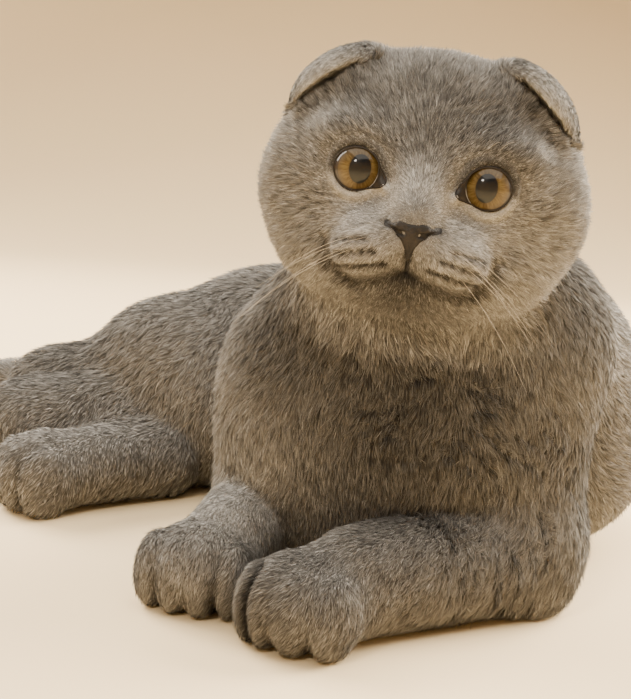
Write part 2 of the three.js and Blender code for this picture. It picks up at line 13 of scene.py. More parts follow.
import bpy
import numpy as np
from mathutils import Matrix, Vector


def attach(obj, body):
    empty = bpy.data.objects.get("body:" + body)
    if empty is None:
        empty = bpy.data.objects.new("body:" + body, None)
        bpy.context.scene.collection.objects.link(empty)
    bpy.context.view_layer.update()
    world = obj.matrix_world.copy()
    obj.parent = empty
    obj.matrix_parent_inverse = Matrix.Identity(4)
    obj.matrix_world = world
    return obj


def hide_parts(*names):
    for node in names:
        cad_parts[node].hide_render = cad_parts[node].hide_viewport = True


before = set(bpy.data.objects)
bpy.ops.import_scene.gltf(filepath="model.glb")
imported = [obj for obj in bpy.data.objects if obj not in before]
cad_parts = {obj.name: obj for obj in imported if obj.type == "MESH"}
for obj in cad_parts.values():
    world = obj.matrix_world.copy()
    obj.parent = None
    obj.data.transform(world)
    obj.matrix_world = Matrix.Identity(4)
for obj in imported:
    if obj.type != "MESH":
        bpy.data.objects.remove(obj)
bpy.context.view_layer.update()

Array = np.ndarray
Point = tuple[float, float, float]
Stops = tuple[tuple[float, float], ...]
Piece = bpy.types.Object
Form = Callable[[Array], Array]
Value = Union["Link", float, Sequence[float]]

MM = 0.001
log = logging.getLogger("cat")


class Side(Enum):
    """The cat's own sides, as signs of X."""

    LEFT = 1
    RIGHT = -1


# Forms: each is negative inside and grows by about 1 a millimetre


def turned(angles: Sequence[float], outward: bool = True) -> Array:
    """Makes a rotation matrix from three angles in degrees.

    Args:
        angles: Turns about X, Y and Z.
        outward: Whether the turn about X is the outermost one; otherwise the turn about Z is.

    Returns:
        The matrix, whose columns are the turned axes.
    """
    x, y, z = (Matrix.Rotation(math.radians(angle), 3, axis) for angle, axis in zip(angles, "XYZ"))
    return np.array(x @ y @ z if outward else z @ y @ x)


@dataclass(frozen=True)
class Egg:
    """An ellipsoid."""

    centre: Point
    radii: Point
    turn: Point = (0, 0, 0)

    def __call__(self, points: Array) -> Array:
        """Gives each point's distance.

        Args:
            points: Places, one a row.

        Returns:
            A distance for each.
        """
        local = ((points - np.array(self.centre)) @ turned(self.turn)) / np.array(self.radii)
        near = np.sqrt((local * local).sum(1))
        slope = np.sqrt(((local / np.array(self.radii)) ** 2).sum(1))
        return near * (near - 1) / np.maximum(slope, 1e-6)


@dataclass(frozen=True)
class Limb:
    """A round bar whose radius changes evenly from one end to the other."""

    start: Point
    end: Point
    start_radius: float
    end_radius: float

    def along(self, points: Array) -> Array:
        """Gives how far along the bar each point lies, from 0 to 1."""
        run = np.array(self.end, float) - np.array(self.start)
        return np.clip((points - np.array(self.start)) @ run / (run @ run), 0, 1)

    def __call__(self, points: Array) -> Array:
        """Gives each point's distance.

        Args:
            points: Places, one a row.

        Returns:
            A distance for each.
        """
        run = np.array(self.end, float) - np.array(self.start)
        share = self.along(points)
        away = points - np.array(self.start) - share[:, None] * run
        radius = self.start_radius + share * (self.end_radius - self.start_radius)
        return np.sqrt((away * away).sum(1)) - radius


@dataclass(frozen=True)
class Ring:
    """A round bar bent into a ring about its own Y axis."""

    centre: Point
    radius: float
    thickness: float
    turn: Point = (0, 0, 0)

    def __call__(self, points: Array) -> Array:
        """Gives each point's distance."""
        x, y, z = ((points - np.array(self.centre)) @ turned(self.turn, outward=False)).T
        return np.hypot(np.hypot(x, z) - self.radius, y) - self.thickness


def soft(a: Array, b: Array, reach: Union[float, Array]) -> Array:
    """Joins two distances, rounding the crease between them over the reach."""
    overlap = np.maximum(reach - np.abs(a - b), 0) / reach
    return np.minimum(a, b) - overlap * overlap * reach / 4


@dataclass(frozen=True)
class Blend:
    """Forms joined with soft creases."""

    reach: float
    forms: tuple[Form, ...]

    def __call__(self, points: Array) -> Array:
        """Gives each point's distance."""
        distances = [form(points) for form in self.forms]
        return reduce(lambda first, second: soft(first, second, self.reach), distances)


@dataclass(frozen=True)
class Carved:
    """A form with others cut from it with soft edges."""

    reach: float
    form: Form
    tools: tuple[Form, ...]

    def __call__(self, points: Array) -> Array:
        """Gives each point's distance.

        Args:
            points: Places, one a row.

        Returns:
            A distance for each.
        """
        distance = self.form(points)
        for tool in self.tools:
            distance = -soft(-distance, tool(points), self.reach)
        return distance


@dataclass(frozen=True)
class Placed:
    """A form moved and turned from its own frame."""

    form: Form
    position: Point
    turn: Point

    def inward(self, points: Array) -> Array:
        """Takes points into the form's own frame."""
        return (points - np.array(self.position)) @ turned(self.turn, outward=False)

    def outward(self, points: Array) -> Array:
        """Takes points from the form's own frame into the part's."""
        return points @ turned(self.turn, outward=False).T + np.array(self.position)

    def spread(self, directions: Array) -> Array:
        """Turns directions from the form's own frame into the part's."""
        return directions @ turned(self.turn, outward=False).T

    def __call__(self, points: Array) -> Array:
        """Gives each point's distance."""
        return self.form(self.inward(points))


def chain(reach: float, stops: Sequence[tuple[Point, float]]) -> Blend:
    """Joins bars through a row of points, each with its radius."""
    links = [Limb(a, b, ra, rb) for (a, ra), (b, rb) in zip(stops, stops[1:])]
    return Blend(reach, tuple(links))


def fade(values: Array, near: float, far: float) -> Array:
    """Rises smoothly from 0 at near to 1 at far."""
    share = np.clip((values - near) / (far - near), 0, 1)
    return share * share * (3 - 2 * share)


def length_of(vectors: Array) -> Array:
    """Gives the length of each vector."""
    return np.sqrt((vectors * vectors).sum(1))


def unit(vectors: Array) -> Array:
    """Scales each vector to length 1."""
    return vectors / np.maximum(length_of(vectors), 1e-9)[:, None]


def across(vectors: Array, normals: Array) -> Array:
    """Lays each vector along the surface that has these normals."""
    return unit(vectors - (vectors * normals).sum(1)[:, None] * normals)


@dataclass(frozen=True)
class Waves:
    """A smooth random pattern: many plane waves of about one length."""

    seed: int
    wavelength: float
    count: int = 22

    def _set(self) -> tuple[Array, Array]:
        """Draws the waves' directions and starts.

        Returns:
            The waves as rows, and the angle that each starts at.
        """
        draw = np.random.default_rng(self.seed)
        ways = unit(draw.normal(size=(self.count, 3)))
        lengths = self.wavelength * draw.uniform(0.7, 1.5, (self.count, 1))
        return ways * 2 * math.pi / lengths, draw.uniform(0, 2 * math.pi, self.count)

    def height(self, points: Array) -> Array:
        """Gives the pattern, mostly between -1 and 1."""
        ways, starts = self._set()
        return np.cos(points @ ways.T + starts).sum(1) / math.sqrt(self.count)

    def slope(self, points: Array) -> Array:
        """Gives the pattern's gradient, scaled so that its length is mostly between 0 and 1.

        Args:
            points: Places, one a row.

        Returns:
            A vector for each.
        """
        ways, starts = self._set()
        steep = -np.sin(points @ ways.T + starts) @ ways
        return steep * self.wavelength / (2 * math.pi * math.sqrt(self.count))


# The cat's forms, out to the tips of its coat


@dataclass(frozen=True)
class FaceLine:
    """A soft groove pressed into the face along [x, z] stops seen from the front."""

    stops: Stops
    depth: float
    width: float

    def press(self, x: Array, z: Array) -> Array:
        """Gives how deep the groove is at each place.

        Args:
            x: Places across, seen from the front.
            z: Places up.

        Returns:
            A depth for each, in millimetres.
        """
        nearest = np.full(len(x), 1e9)
        for (ax, az), (bx, bz) in zip(self.stops, self.stops[1:]):
            ex, ez = bx - ax, bz - az
            share = np.clip(((x - ax) * ex + (z - az) * ez) / (ex * ex + ez * ez), 0, 1)
            nearest = np.minimum(nearest, np.hypot(x - ax - share * ex, z - az - share * ez))
        return self.depth * np.exp(-((nearest / self.width) ** 2))


def mirrored(stops: Stops, side: Side) -> Stops:
    """Gives [x, z] stops on one side of the face."""
    return tuple((side.value * x, z) for x, z in stops)


def paired(stops: Stops, depth: float, width: float) -> tuple[FaceLine, ...]:
    """Gives the same groove on both sides of the face."""
    return tuple(FaceLine(mirrored(stops, side), depth, width) for side in Side)


def deepest(lines: Iterable[FaceLine], x: Array, z: Array) -> Array:
    """Gives how deep in the deepest of some grooves each place is, from 0 to 1."""
    return np.max([line.press(x, z) / line.depth for line in lines], axis=0)


@dataclass(frozen=True)
class Lids:
    """The outline of an eye's opening seen from the front: round, but drawn out to a point at the nose."""

    centre: tuple[float, float] = (25.2, -0.7)
    opening: float = 8.95
    flattening: float = 0.09
    corner_angle: float = 199
    corner_reach: float = 3.6
    corner_spread: float = 0.33

    def radius(self, angle: Array) -> Array:
        """Gives how far the edge is from the middle, by the angle from the eye's outer side.

        Args:
            angle: Angles in radians.

        Returns:
            A radius for each.
        """
        off = (angle - math.radians(self.corner_angle) + math.pi) % (2 * math.pi) - math.pi
        opening = self.opening * (1 - self.flattening * np.sin(angle) ** 2)
        return opening + self.corner_reach * np.exp(-((off / self.corner_spread) ** 2))

    def gap(self, local: Array) -> Array:
        """Gives how far each point lies outside the nearer eye's edge, negative over the eye."""
        x, z = np.abs(local[:, 0]) - self.centre[0], local[:, 2] - self.centre[1]
        return np.hypot(x, z) - self.radius(np.arctan2(z, x))


@dataclass(frozen=True)
class Head:
    """The head in its own frame: X to its left, Y to the back, Z up, with 0 behind the eyes."""

    position: Point = (1, -22, 183)
    turn: Point = (0, 4.2, -6)
    eye_spacing: float = 24.6
    eye_place: tuple[float, float] = (-27.6, -0.7)
    eye_radius: float = 11.5
    ear_slope: float = 38
    fold_middle: tuple[float, float] = (42.4, 31.4)
    left_ear_shift: float = 2.0
    mouth_stops: Stops = ((0, -34), (8, -37.3), (17, -41.4), (25, -40))
    nostril_stops: Stops = ((4.4, -21.4), (6.4, -19.2), (9.4, -18.4))
    pad_stops: Stops = ((9, -38.5), (17, -42), (25, -40.5), (30.5, -35), (32, -28))
    cleft_stops: Stops = ((0, -28), (0, -34.5))
    lid_ring: float = 10.1
    lid_thickness: float = 1.7
    ear_join: float = 10
    cup_edge: float = 1.2

    def mouth_lines(self) -> tuple[FaceLine, ...]:
        """Gives the cleft under the nose and the two halves of the mouth."""
        return (FaceLine(self.cleft_stops, 1.7, 1.2), *paired(self.mouth_stops, 1.0, 2.2))

    def pad_lines(self) -> tuple[FaceLine, ...]:
        """Gives the lower edges of the whisker pads."""
        return paired(self.pad_stops, 1.1, 2.4)

    def lines(self) -> tuple[FaceLine, ...]:
        """Gives every groove of the face."""
        return (*self.mouth_lines(), *paired(self.nostril_stops, 2.4, 1.0), *self.pad_lines())

    def eye_centre(self, side: Side) -> Point:
        """Gives the middle of an eyeball."""
        return (side.value * self.eye_spacing, *self.eye_place)

    def skull(self) -> Form:
        """Builds the head without ears or grooves.

        Returns:
            The form, in the head's frame.
        """
        signs = [side.value for side in Side]
        base = Blend(16, (
            Egg((0, 6, 7), (57, 42, 44)),
            *(Egg((s * 30.5, 5, -10), (37.5, 35, 36)) for s in signs),
            Egg((0, -7, -33), (52, 36, 26)),
        ))
        face = Blend(9, (
            Egg((0, -32, -24), (25, 20, 14)),
            Limb((0, -22, 8), (0, -46, -14), 15, 8.5),
            Egg((0, -32.5, -38.5), (15, 14, 9.5)),
        ))
        pads = Blend(5, tuple(
            Egg((s * 13.5, -43, -29), (16.5, 12.8, 11.2), (0, s * 8, s * 18)) for s in signs
        ))
        brows = Blend(6, tuple(Egg((s * 25, -24, 12), (18, 12, 9)) for s in signs))
        front = Blend(6, (Blend(12, (base, face)), pads))
        sockets = tuple(Egg((s * 25.5, -41, -1), (13, 8, 12.5), (0, 0, s * 14)) for s in signs)
        whole = Carved(6, Blend(10, (front, brows)), sockets)
        nose = Blend(2, (
            Limb((0, -47, -16), (0, -50.5, -20.5), 6.8, 5.6),
            *(Egg((s * 5.2, -50.5, -19), (3.6, 4.2, 3.4)) for s in signs),
        ))
        lids = tuple(self.lid(side) for side in Side)
        corners = tuple(Limb((s * 14.9, -37.2, -4.9), (s * 12.4, -39.6, -6.7), 1.3, 1.1) for s in signs)
        return Blend(2.5, (whole, nose, *lids, *corners))

    def lid(self, side: Side) -> Ring:
        """Builds the round edge of the lids."""
        s = side.value
        return Ring((s * 25.2, -34.4, -0.7), self.lid_ring, self.lid_thickness, (0, 0, s * 12))

    def by_fold(self, side: Side, along: float, depth: float, above: float) -> Point:
        """Gives a point by its place along and above the middle of an ear's fold, and its depth.

        Args:
            side: The side of the cat.
            along: How far down the slope of the fold.
            depth: The place along Y.
            above: How far above the fold.

        Returns:
            The point, in the head's frame.
        """
        turn = math.radians(self.ear_slope)
        shift = self.left_ear_shift * (side is Side.LEFT)
        x = self.fold_middle[0] - shift + along * math.cos(turn) + above * math.sin(turn)
        z = self.fold_middle[1] + 1.1 * shift - along * math.sin(turn) + above * math.cos(turn)
        return (side.value * x, depth, z)

    def off_fold(self, side: Side, local: Array) -> tuple[Array, Array]:
        """Gives how far points lie along and above the middle of an ear's fold, seen from the front.

        Args:
            side: The side of the cat.
            local: Points of the head's frame.

        Returns:
            Both distances for each point.
        """
        turn = math.radians(self.ear_slope)
        x, _, z = self.by_fold(side, 0, 0, 0)
        over, up = side.value * (local[:, 0] - x), local[:, 2] - z
        return over * math.cos(turn) - up * math.sin(turn), over * math.sin(turn) + up * math.cos(turn)

    def ear(self, side: Side) -> Form:
        """Builds a folded ear with the low ridge under its fold.

        Args:
            side: The side of the cat.

        Returns:
            The ear, without its hollow.
        """
        s = side.value
        outer = Egg(self.by_fold(side, -2.4, -4, 0.6), (19.6, 16.5, 10.8), (0, s * self.ear_slope, 0))
        root = Egg((s * 34, 11, 27), (24, 20, 14), (0, s * (self.ear_slope - 8), s * -10))
        ridge = Limb(self.by_fold(side, -7, -16.5, -5.5), self.by_fold(side, 13, -13.5, -5.2), 1.9, 2.1)
        return Blend(3, (Blend(9, (outer, root)), ridge))

    def ear_cup(self, side: Side) -> Egg:
        """Builds the narrow hollow under an ear's fold."""
        turn = (0, side.value * (self.ear_slope + 2), 0)
        return Egg(self.by_fold(side, 1.5, -17, -0.2), (14.5, 11, 1.7), turn)

    def score(self, points: Array, distance: Array) -> Array:
        """Presses the grooves into the face.

        Args:
            points: Places, one a row.
            distance: The distances to the smooth face.

        Returns:
            The distances to the grooved face.
        """
        x, y, z = points.T
        near = (y < -20) & (np.abs(x) < 40) & (z < -10) & (z > -50) & (np.abs(distance) < 12)
        if near.any():
            press = np.max([line.press(x[near], z[near]) for line in self.lines()], axis=0)
            distance[near] += press * (1 - fade(y[near], -27, -21))
        return distance

    def whole(self) -> Form:
        """Builds the head with its ears, in its own frame.

        Returns:
            The form.
        """
        skull = self.skull()
        ears = tuple(self.ear(side) for side in Side)
        cups = tuple(self.ear_cup(side) for side in Side)

        def shape(points: Array) -> Array:
            """Gives each point's distance.

            Args:
                points: Places, one a row.

            Returns:
                A distance for each.
            """
            distance = self.score(points, skull(points))
            for ear, cup in zip(ears, cups):
                distance = soft(distance, ear(points), self.ear_join)
                distance = -soft(-distance, cup(points), self.cup_edge)
            return distance

        return shape

    def placed(self, form: Optional[Form] = None) -> Placed:
        """Puts a form of the head's frame where the head is."""
        return Placed(form or self.whole(), self.position, self.turn)


@dataclass(frozen=True)
class Paw:
    """A paw with four rounded toes."""

    centre: Point
    heading: float
    length: float
    width: float
    height: float
    toe_places: tuple[float, ...] = (-1.5, -0.5, 0.5, 1.5)

    def spot(self, across_by: float, along_by: float, up_by: float) -> Point:
        """Gives a point by its offsets across, ahead of and above the paw's centre.

        Args:
            across_by: How far to the side.
            along_by: How far ahead.
            up_by: How far up.

        Returns:
            The point.
        """
        turn = math.radians(self.heading)
        x, y, z = self.centre
        return (
            x + across_by * math.cos(turn) + along_by * math.sin(turn),
            y + across_by * math.sin(turn) - along_by * math.cos(turn),
            z + up_by,
        )

    def body(self) -> Egg:
        """Builds the paw without its toes."""
        return Egg(self.centre, (self.width, self.length, self.height), (0, 0, self.heading))

    def toes(self) -> tuple[Egg, ...]:
        """Builds the toes.

        Returns:
            The toes, from one side of the paw to the other.
        """
        toe_size = (self.width * 0.36, self.length * 0.56, self.height * 0.86)
        toes = []
        for place in self.toe_places:
            ahead = self.length * (0.47 - 0.08 * place * place)
            spot = self.spot(place * self.width * 0.47, ahead, -self.height * 0.1)
            toes.append(Egg(spot, toe_size, (0, 0, self.heading)))
        return tuple(toes)

    def form(self) -> Blend:
        """Builds the paw."""
        return Blend(3.6, (self.body(), Blend(2.4, self.toes())))

    def crease(self, points: Array) -> Array:
        """Says how deep in a crease between two toes each point lies, from 0 to 1.

        Args:
            points: Places, one a row.

        Returns:
            A share for each.
        """
        toes = np.sort(np.stack([toe(points) for toe in self.toes()]), axis=0)
        parting = np.exp(-(((toes[1] - toes[0]) / 2.0) ** 2))
        ahead = fade(self.body()(points) - toes[0], -2.2, 0.8)
        return parting * ahead * (1 - fade(toes[0], 3, 8))


@dataclass(frozen=True)
class Leg:
    """A leg: where it joins the trunk, its root in the trunk, its shank and its paw."""

    joint: Point
    root: Form
    shank: Form
    paw: Paw
    axis: tuple[Point, Point]

    def limb(self) -> Blend:
        """Builds the shank with its paw."""
        return Blend(8, (self.shank, self.paw.form()))


def make_legs() -> dict[str, Leg]:
    """Builds the four legs as they lie.

    Returns:
        The legs by the names of their nodes.
    """
    return {
        "foreleg_left": Leg(
            joint=(60, 0, 40),
            root=chain(16, [((54, 12, 104), 31), ((57, 0, 36), 28)]),
            shank=Blend(10, (
                chain(12, [((57, -6, 26), 27.5), ((-14, -56, 22), 22.5)]),
                Egg((57, -5, 15), (25, 24, 22)),
            )),
            paw=Paw((-33, -69, 17.5), -24, 26, 26, 19.5, (-1.35, -0.85, 0.15, 1.25)),
            axis=((62, 6, 28), (-50, -84, 18)),
        ),
        "foreleg_right": Leg(
            joint=(-56, 44, 40),
            root=chain(16, [((-43, 40, 90), 30), ((-50, 44, 40), 27)]),
            shank=chain(12, [((-50, 38, 27), 27), ((-69, -17, 22), 19.5)]),
            paw=Paw((-78, -36, 17), -16, 23, 24, 19),
            axis=((-52, 46, 28), (-86, -60, 17)),
        ),
        "hindleg_right": Leg(
            joint=(-80, 175, 60),
            root=Blend(18, (
                Egg((-110, 170, 50), (60, 46, 55), (0, 12, -20)),
                Egg((-76, 186, 62), (50, 46, 54)),
                Egg((-162, 176, 38), (50, 38, 33), (0, 14, 0)),
            )),
            shank=Blend(10, (
                chain(16, [((-110, 166, 44), 36), ((-188, 144, 26), 28), ((-120, 134, 21), 22)]),
                chain(10, [((-116, 132, 20), 21), ((-150, 102, 20), 20.5)]),
            )),
            paw=Paw((-169, 88, 19), -54, 26, 24, 22),
            axis=((-80, 176, 46), (-196, 130, 24)),
        ),
        "hindleg_left": Leg(
            joint=(-50, 180, 30),
            root=Egg((-56, 180, 34), (50, 40, 36)),
            shank=chain(14, [((-76, 166, 22), 24), ((-64, 128, 17), 18)]),
            paw=Paw((-54, 104, 14), -20, 21, 18, 15),
            axis=((-72, 170, 20), (-50, 88, 14)),
        ),
    }


@dataclass(frozen=True)
class Tail:
    """The tail, which follows a curve from its thick root to its blunt tip."""

    points: tuple[Point, ...] = ((-84, 220, 46), (-146, 262, 12), (-186, 334, 17), (-266, 334, 15))
    stops: int = 9
    root_radius: float = 29
    tip_radius: float = 16

    def at(self, share: float) -> Point:
        """Gives the point a share of the way along the curve.

        Args:
            share: From 0 at the root to 1 at the tip.

        Returns:
            The point.
        """
        a, b, c, d = (np.array(point, float) for point in self.points)
        rest = 1 - share
        spot = rest**3 * a + 3 * rest**2 * share * b + 3 * rest * share**2 * c + share**3 * d
        return tuple(spot)

    def form(self) -> Blend:
        """Builds the tail.

        Returns:
            The form.
        """
        shares = [i / self.stops for i in range(self.stops + 1)]
        thinning = self.root_radius - self.tip_radius
        return chain(6, [(self.at(s), self.root_radius - thinning * math.sqrt(s)) for s in shares])


@dataclass
class Cat:
    """All of the cat's forms together, out to the tips of its coat."""

    head: Head = field(default_factory=Head)
    legs: dict[str, Leg] = field(default_factory=make_legs)
    tail: Tail = field(default_factory=Tail)
    far_from_head: float = 45.0
    spine: tuple[Point, ...] = (
        (4, 0, 150), (10, 36, 120), (48, 90, 92), (46, 144, 80),
        (4, 190, 76), (-60, 208, 60), (-96, 230, 44),
    )

    def __post_init__(self) -> None:
        """Builds the forms once."""
        self.head_form = self.head.placed()
        self.neck = Blend(20, (Egg((3, 8, 134), (54, 48, 44)), Egg((10, 36, 122), (58, 44, 40))))
        self.torso = Blend(28, (
            Egg((-2, 12, 78), (67, 54, 82), (0, 0, -20)),
            Egg((-43, 34, 74), (35, 42, 54)),
            Egg((56, 24, 116), (37, 42, 42)),
            Egg((50, 92, 80), (77, 64, 72)),
            Egg((68, 120, 42), (68, 80, 46)),
            Egg((46, 144, 66), (77, 62, 68)),
            Egg((4, 190, 72), (72, 56, 62)),
            Egg((-54, 204, 64), (62, 48, 58)),
        ))
        self.tail_form = self.tail.form()
        self.limbs = {name: leg.limb() for name, leg in self.legs.items()}

    def head_distance(self, points: Array) -> Array:
        """Gives the distance to the head, worked out only near it.

        Args:
            points: Places, one a row.

        Returns:
            A distance for each, which is only a large number away from the head.
        """
        near = (points[:, 2] > 96) & (points[:, 1] < 75) & (np.abs(points[:, 0]) < 105)
        distance = np.full(len(points), self.far_from_head)
        if near.any():
            distance[near] = self.head_form(points[near])
        return distance

    def surface(self, points: Array) -> Array:
        """Gives the distance to the coat's outer surface.

        Args:
            points: Places, one a row.

        Returns:
            A distance for each.
        """
        distance = soft(self.head_distance(points), self.neck(points), 8)
        distance = soft(distance, self.torso(points), 18)
        for leg in self.legs.values():
            distance = soft(distance, leg.root(points), 22)
        for name, leg in self.legs.items():
            away2 = ((points - np.array(leg.joint)) ** 2).sum(1)
            distance = soft(distance, self.limbs[name](points), 3 + 14 * np.exp(-away2 / 1800))
        return soft(distance, self.tail_form(points), 12)


# Meshing the skin


@dataclass(frozen=True)
class GradedAxis:
    """Positions along one axis, close together over one stretch and wider apart elsewhere."""

    low: float
    high: float
    fine_low: float
    fine_high: float
    fine: float
    coarse: float
    growth: float = 0.12

    def positions(self) -> Array:
        """Gives the positions in order.

        Returns:
            The positions, from low to just past high.
        """
        places = [self.low]
        while places[-1] < self.high:
            here = places[-1]
            outside = max(self.fine_low - here, here - self.fine_high, 0)
            places.append(here + min(self.coarse, self.fine + self.growth * outside))
        return np.array(places)


def sampled(form: Form, axes: Sequence[Array]) -> Array:
    """Samples a form on a grid, closely only near its surface.

    Args:
        form: The form to sample.
        axes: The grid's positions along X, Y and Z.

    Returns:
        The distances, as a three-dimensional array.
    """
    stride = 4
    margin = 3
    picks = [np.arange(0, len(axis) + stride - 1, stride).clip(max=len(axis) - 1) for axis in axes]
    rough_points = np.stack(np.meshgrid(*(a[p] for a, p in zip(axes, picks)), indexing="ij"), -1)
    rough = form(rough_points.reshape(-1, 3)).reshape(rough_points.shape[:3])
    nearest = [
        np.minimum((np.arange(len(axis)) + stride // 2) // stride, len(pick) - 1)
        for axis, pick in zip(axes, picks)
    ]
    values = rough[np.ix_(*nearest)]
    steps = [np.abs(a - a[p][n]) for a, p, n in zip(axes, picks, nearest)]
    x, y, z = steps
    reach = np.sqrt(x[:, None, None] ** 2 + y[None, :, None] ** 2 + z[None, None, :] ** 2)
    close = np.abs(values) < 1.5 * reach + margin
    places = np.argwhere(close)
    points = np.stack([axis[places[:, i]] for i, axis in enumerate(axes)], -1)
    values[close] = form(points)
    return values


CORNERS = np.array([(i & 1, (i >> 1) & 1, (i >> 2) & 1) for i in range(8)])
CELL_EDGES = [(a, b) for a in range(8) for b in range(a + 1, 8) if (a ^ b) in (1, 2, 4)]


def netted(form: Form, axes: Sequence[Array]) -> tuple[Array, Array]:
    """Meshes a form's surface with four-sided faces, one point in each grid cell that it crosses.

    Args:
        form: The form to mesh.
        axes: The grid's positions along X, Y and Z, which reach past the form on every side.

    Returns:
        The points, and the faces as rows of four point numbers that face out.
    """
    values = sampled(form, axes)
    inside = values < 0
    count = np.zeros([n - 1 for n in inside.shape], np.int8)
    for i, j, k in CORNERS:
        count += inside[i:i + count.shape[0], j:j + count.shape[1], k:k + count.shape[2]]
    mixed = (count > 0) & (count < len(CORNERS))
    cells = np.argwhere(mixed)
    corners = cells[:, None, :] + CORNERS[None]
    heights = values[corners[..., 0], corners[..., 1], corners[..., 2]]
    face_marks_and_painted_light = np.stack([axis[corners[..., i]] for i, axis in enumerate(axes)], -1)
    total = np.zeros((len(cells), 3))
    crossings = np.zeros(len(cells))
    for a, b in CELL_EDGES:
        crossed = (heights[:, a] < 0) != (heights[:, b] < 0)
        gap = np.where(crossed, heights[:, a] - heights[:, b], 1)
        share = (heights[:, a] / gap)[:, None]
        total += np.where(crossed[:, None], face_marks_and_painted_light[:, a] + share * (face_marks_and_painted_light[:, b] - face_marks_and_painted_light[:, a]), 0)
        crossings += crossed
    points = total / crossings[:, None]
    number = np.full(mixed.shape, -1, np.int64)
    number[mixed] = np.arange(len(cells))
    faces = []
    for axis in range(3):
        first, second = (axis + 1) % 3, (axis + 2) % 3
        here = [slice(None)] * 3
        there = [slice(None)] * 3
        here[axis], there[axis] = slice(0, -1), slice(1, None)
        start, end = inside[tuple(here)], inside[tuple(there)]
        edges = np.argwhere(start != end)
        edges = edges[(edges[:, first] > 0) & (edges[:, second] > 0)]
        edges = edges[(edges[:, first] < mixed.shape[first]) & (edges[:, second] < mixed.shape[second])]
        ring = []
        for back_first, back_second in ((1, 1), (0, 1), (0, 0), (1, 0)):
            cell = edges.copy()
            cell[:, first] -= back_first
            cell[:, second] -= back_second
            ring.append(number[cell[:, 0], cell[:, 1], cell[:, 2]])
        quads = np.stack(ring, 1)
        leaving = start[edges[:, 0], edges[:, 1], edges[:, 2]]
        faces.append(np.where(leaving[:, None], quads, quads[:, ::-1]))
    return points, np.concatenate(faces)


def gradient(form: Form, points: Array, values: Array, reach: float = 0.3) -> Array:
    """Gives a form's slope at each point."""
    steps = [form(points + reach * axis) - values for axis in np.eye(3)]
    return np.stack(steps, 1) / reach


def sheet_faces(shape: tuple[int, int]) -> Array:
    """Joins the points of a sheet, numbered row by row, with four-sided faces.

    Args:
        shape: The numbers of rows and of points in a row.

    Returns:
        The faces, as rows of four point numbers.
    """
    number = np.arange(shape[0] * shape[1]).reshape(shape)
    corners = (number[:-1, :-1], number[1:, :-1], number[1:, 1:], number[:-1, 1:])
    return np.stack(corners, -1).reshape(-1, 4)


def wrapped_faces(rows: int, around: int, closed: bool = False) -> Array:
    """Joins rows of points that each run round a loop with four-sided faces.

    Args:
        rows: The number of rows.
        around: The number of points in each.
        closed: Whether the last row joins up with the first.

    Returns:
        The faces, as rows of four point numbers.
    """
    here = np.arange(rows if closed else rows - 1)[:, None] * around
    there = (here + around) % (rows * around)
    now = np.arange(around)[None]
    later = (now + 1) % around
    return np.stack([here + now, there + now, there + later, here + later], -1).reshape(-1, 4)


def build_mesh(name: str, points: Array, faces: Array) -> Piece:
    """Makes a smooth object from points in millimetres and faces with one number of corners.

    Args:
        name: The piece's name.
        points: Places in millimetres, one a row.
        faces: Point numbers, one face a row.

    Returns:
        The new object, linked to the scene.
    """
    mesh = bpy.data.meshes.new(name)
    sides = faces.shape[1]
    mesh.vertices.add(len(points))
    mesh.vertices.foreach_set("co", (points * MM).astype(np.float32).ravel())
    mesh.loops.add(faces.size)
    mesh.loops.foreach_set("vertex_index", faces.astype(np.int32).ravel())
    mesh.polygons.add(len(faces))
    mesh.polygons.foreach_set("loop_start", np.arange(0, faces.size, sides, dtype=np.int32))
    mesh.update(calc_edges=True)
    mesh.polygons.foreach_set("use_smooth", np.full(len(faces), True))
    piece = bpy.data.objects.new(name, mesh)
    bpy.context.scene.collection.objects.link(piece)
    return piece


def store(piece: Piece, name: str, values: Array) -> None:
    """Keeps one number a point on a piece, for its material to read."""
    attribute = piece.data.attributes.new(name, "FLOAT", "POINT")
    attribute.data.foreach_set("value", values.astype(np.float32))


# The lie of the coat


@dataclass(frozen=True)
class Spot:
    """A round change of tone in the coat, lighter above 0 and darker below it; used both for the coat's own
    marks and for painted light and shade.
    """

    centre: Point
    radius: float
    tone: float

    def at(self, points: Array) -> Array:
        """Gives the change of tone at points of the frame that its centre is in."""
        away2 = ((points - np.array(self.centre)) ** 2).sum(1)
        return self.tone * np.exp(-away2 / self.radius**2)


@dataclass(frozen=True)
class WhiskerRow:
    """A row of whisker roots, by its inner and outer ends seen from the front."""

    inner: tuple[float, float]
    outer: tuple[float, float]
    count: int


@dataclass(frozen=True)
class WhiskerBed:
    """The rows of whisker roots on one side of the muzzle, in the head's frame."""

    side: Side
    in_front: float = -70.0
    furrow_width: float = 1.1
    rows: tuple[WhiskerRow, ...] = (
        WhiskerRow((15.5, -24.8), (26.0, -27.1), 4),
        WhiskerRow((11.8, -27.9), (27.0, -32.0), 5),
        WhiskerRow((7.8, -31.8), (25.0, -36.5), 6),
    )

    def roots(self) -> list[Point]:
        """Gives each root as seen from the front, with a depth in front of the muzzle.

        Returns:
            The roots, row by row.
        """
        places = []
        for row in self.rows:
            for share in np.linspace(0, 1, row.count):
                x, z = (a + share * (b - a) for a, b in zip(row.inner, row.outer))
                places.append((self.side.value * x, self.in_front, z))
        return places

    def furrows(self) -> list[FaceLine]:
        """Gives the shallow furrow that each row lies in."""
        ends = [mirrored((row.inner, row.outer), self.side) for row in self.rows]
        return [FaceLine(stops, 1.0, self.furrow_width) for stops in ends]


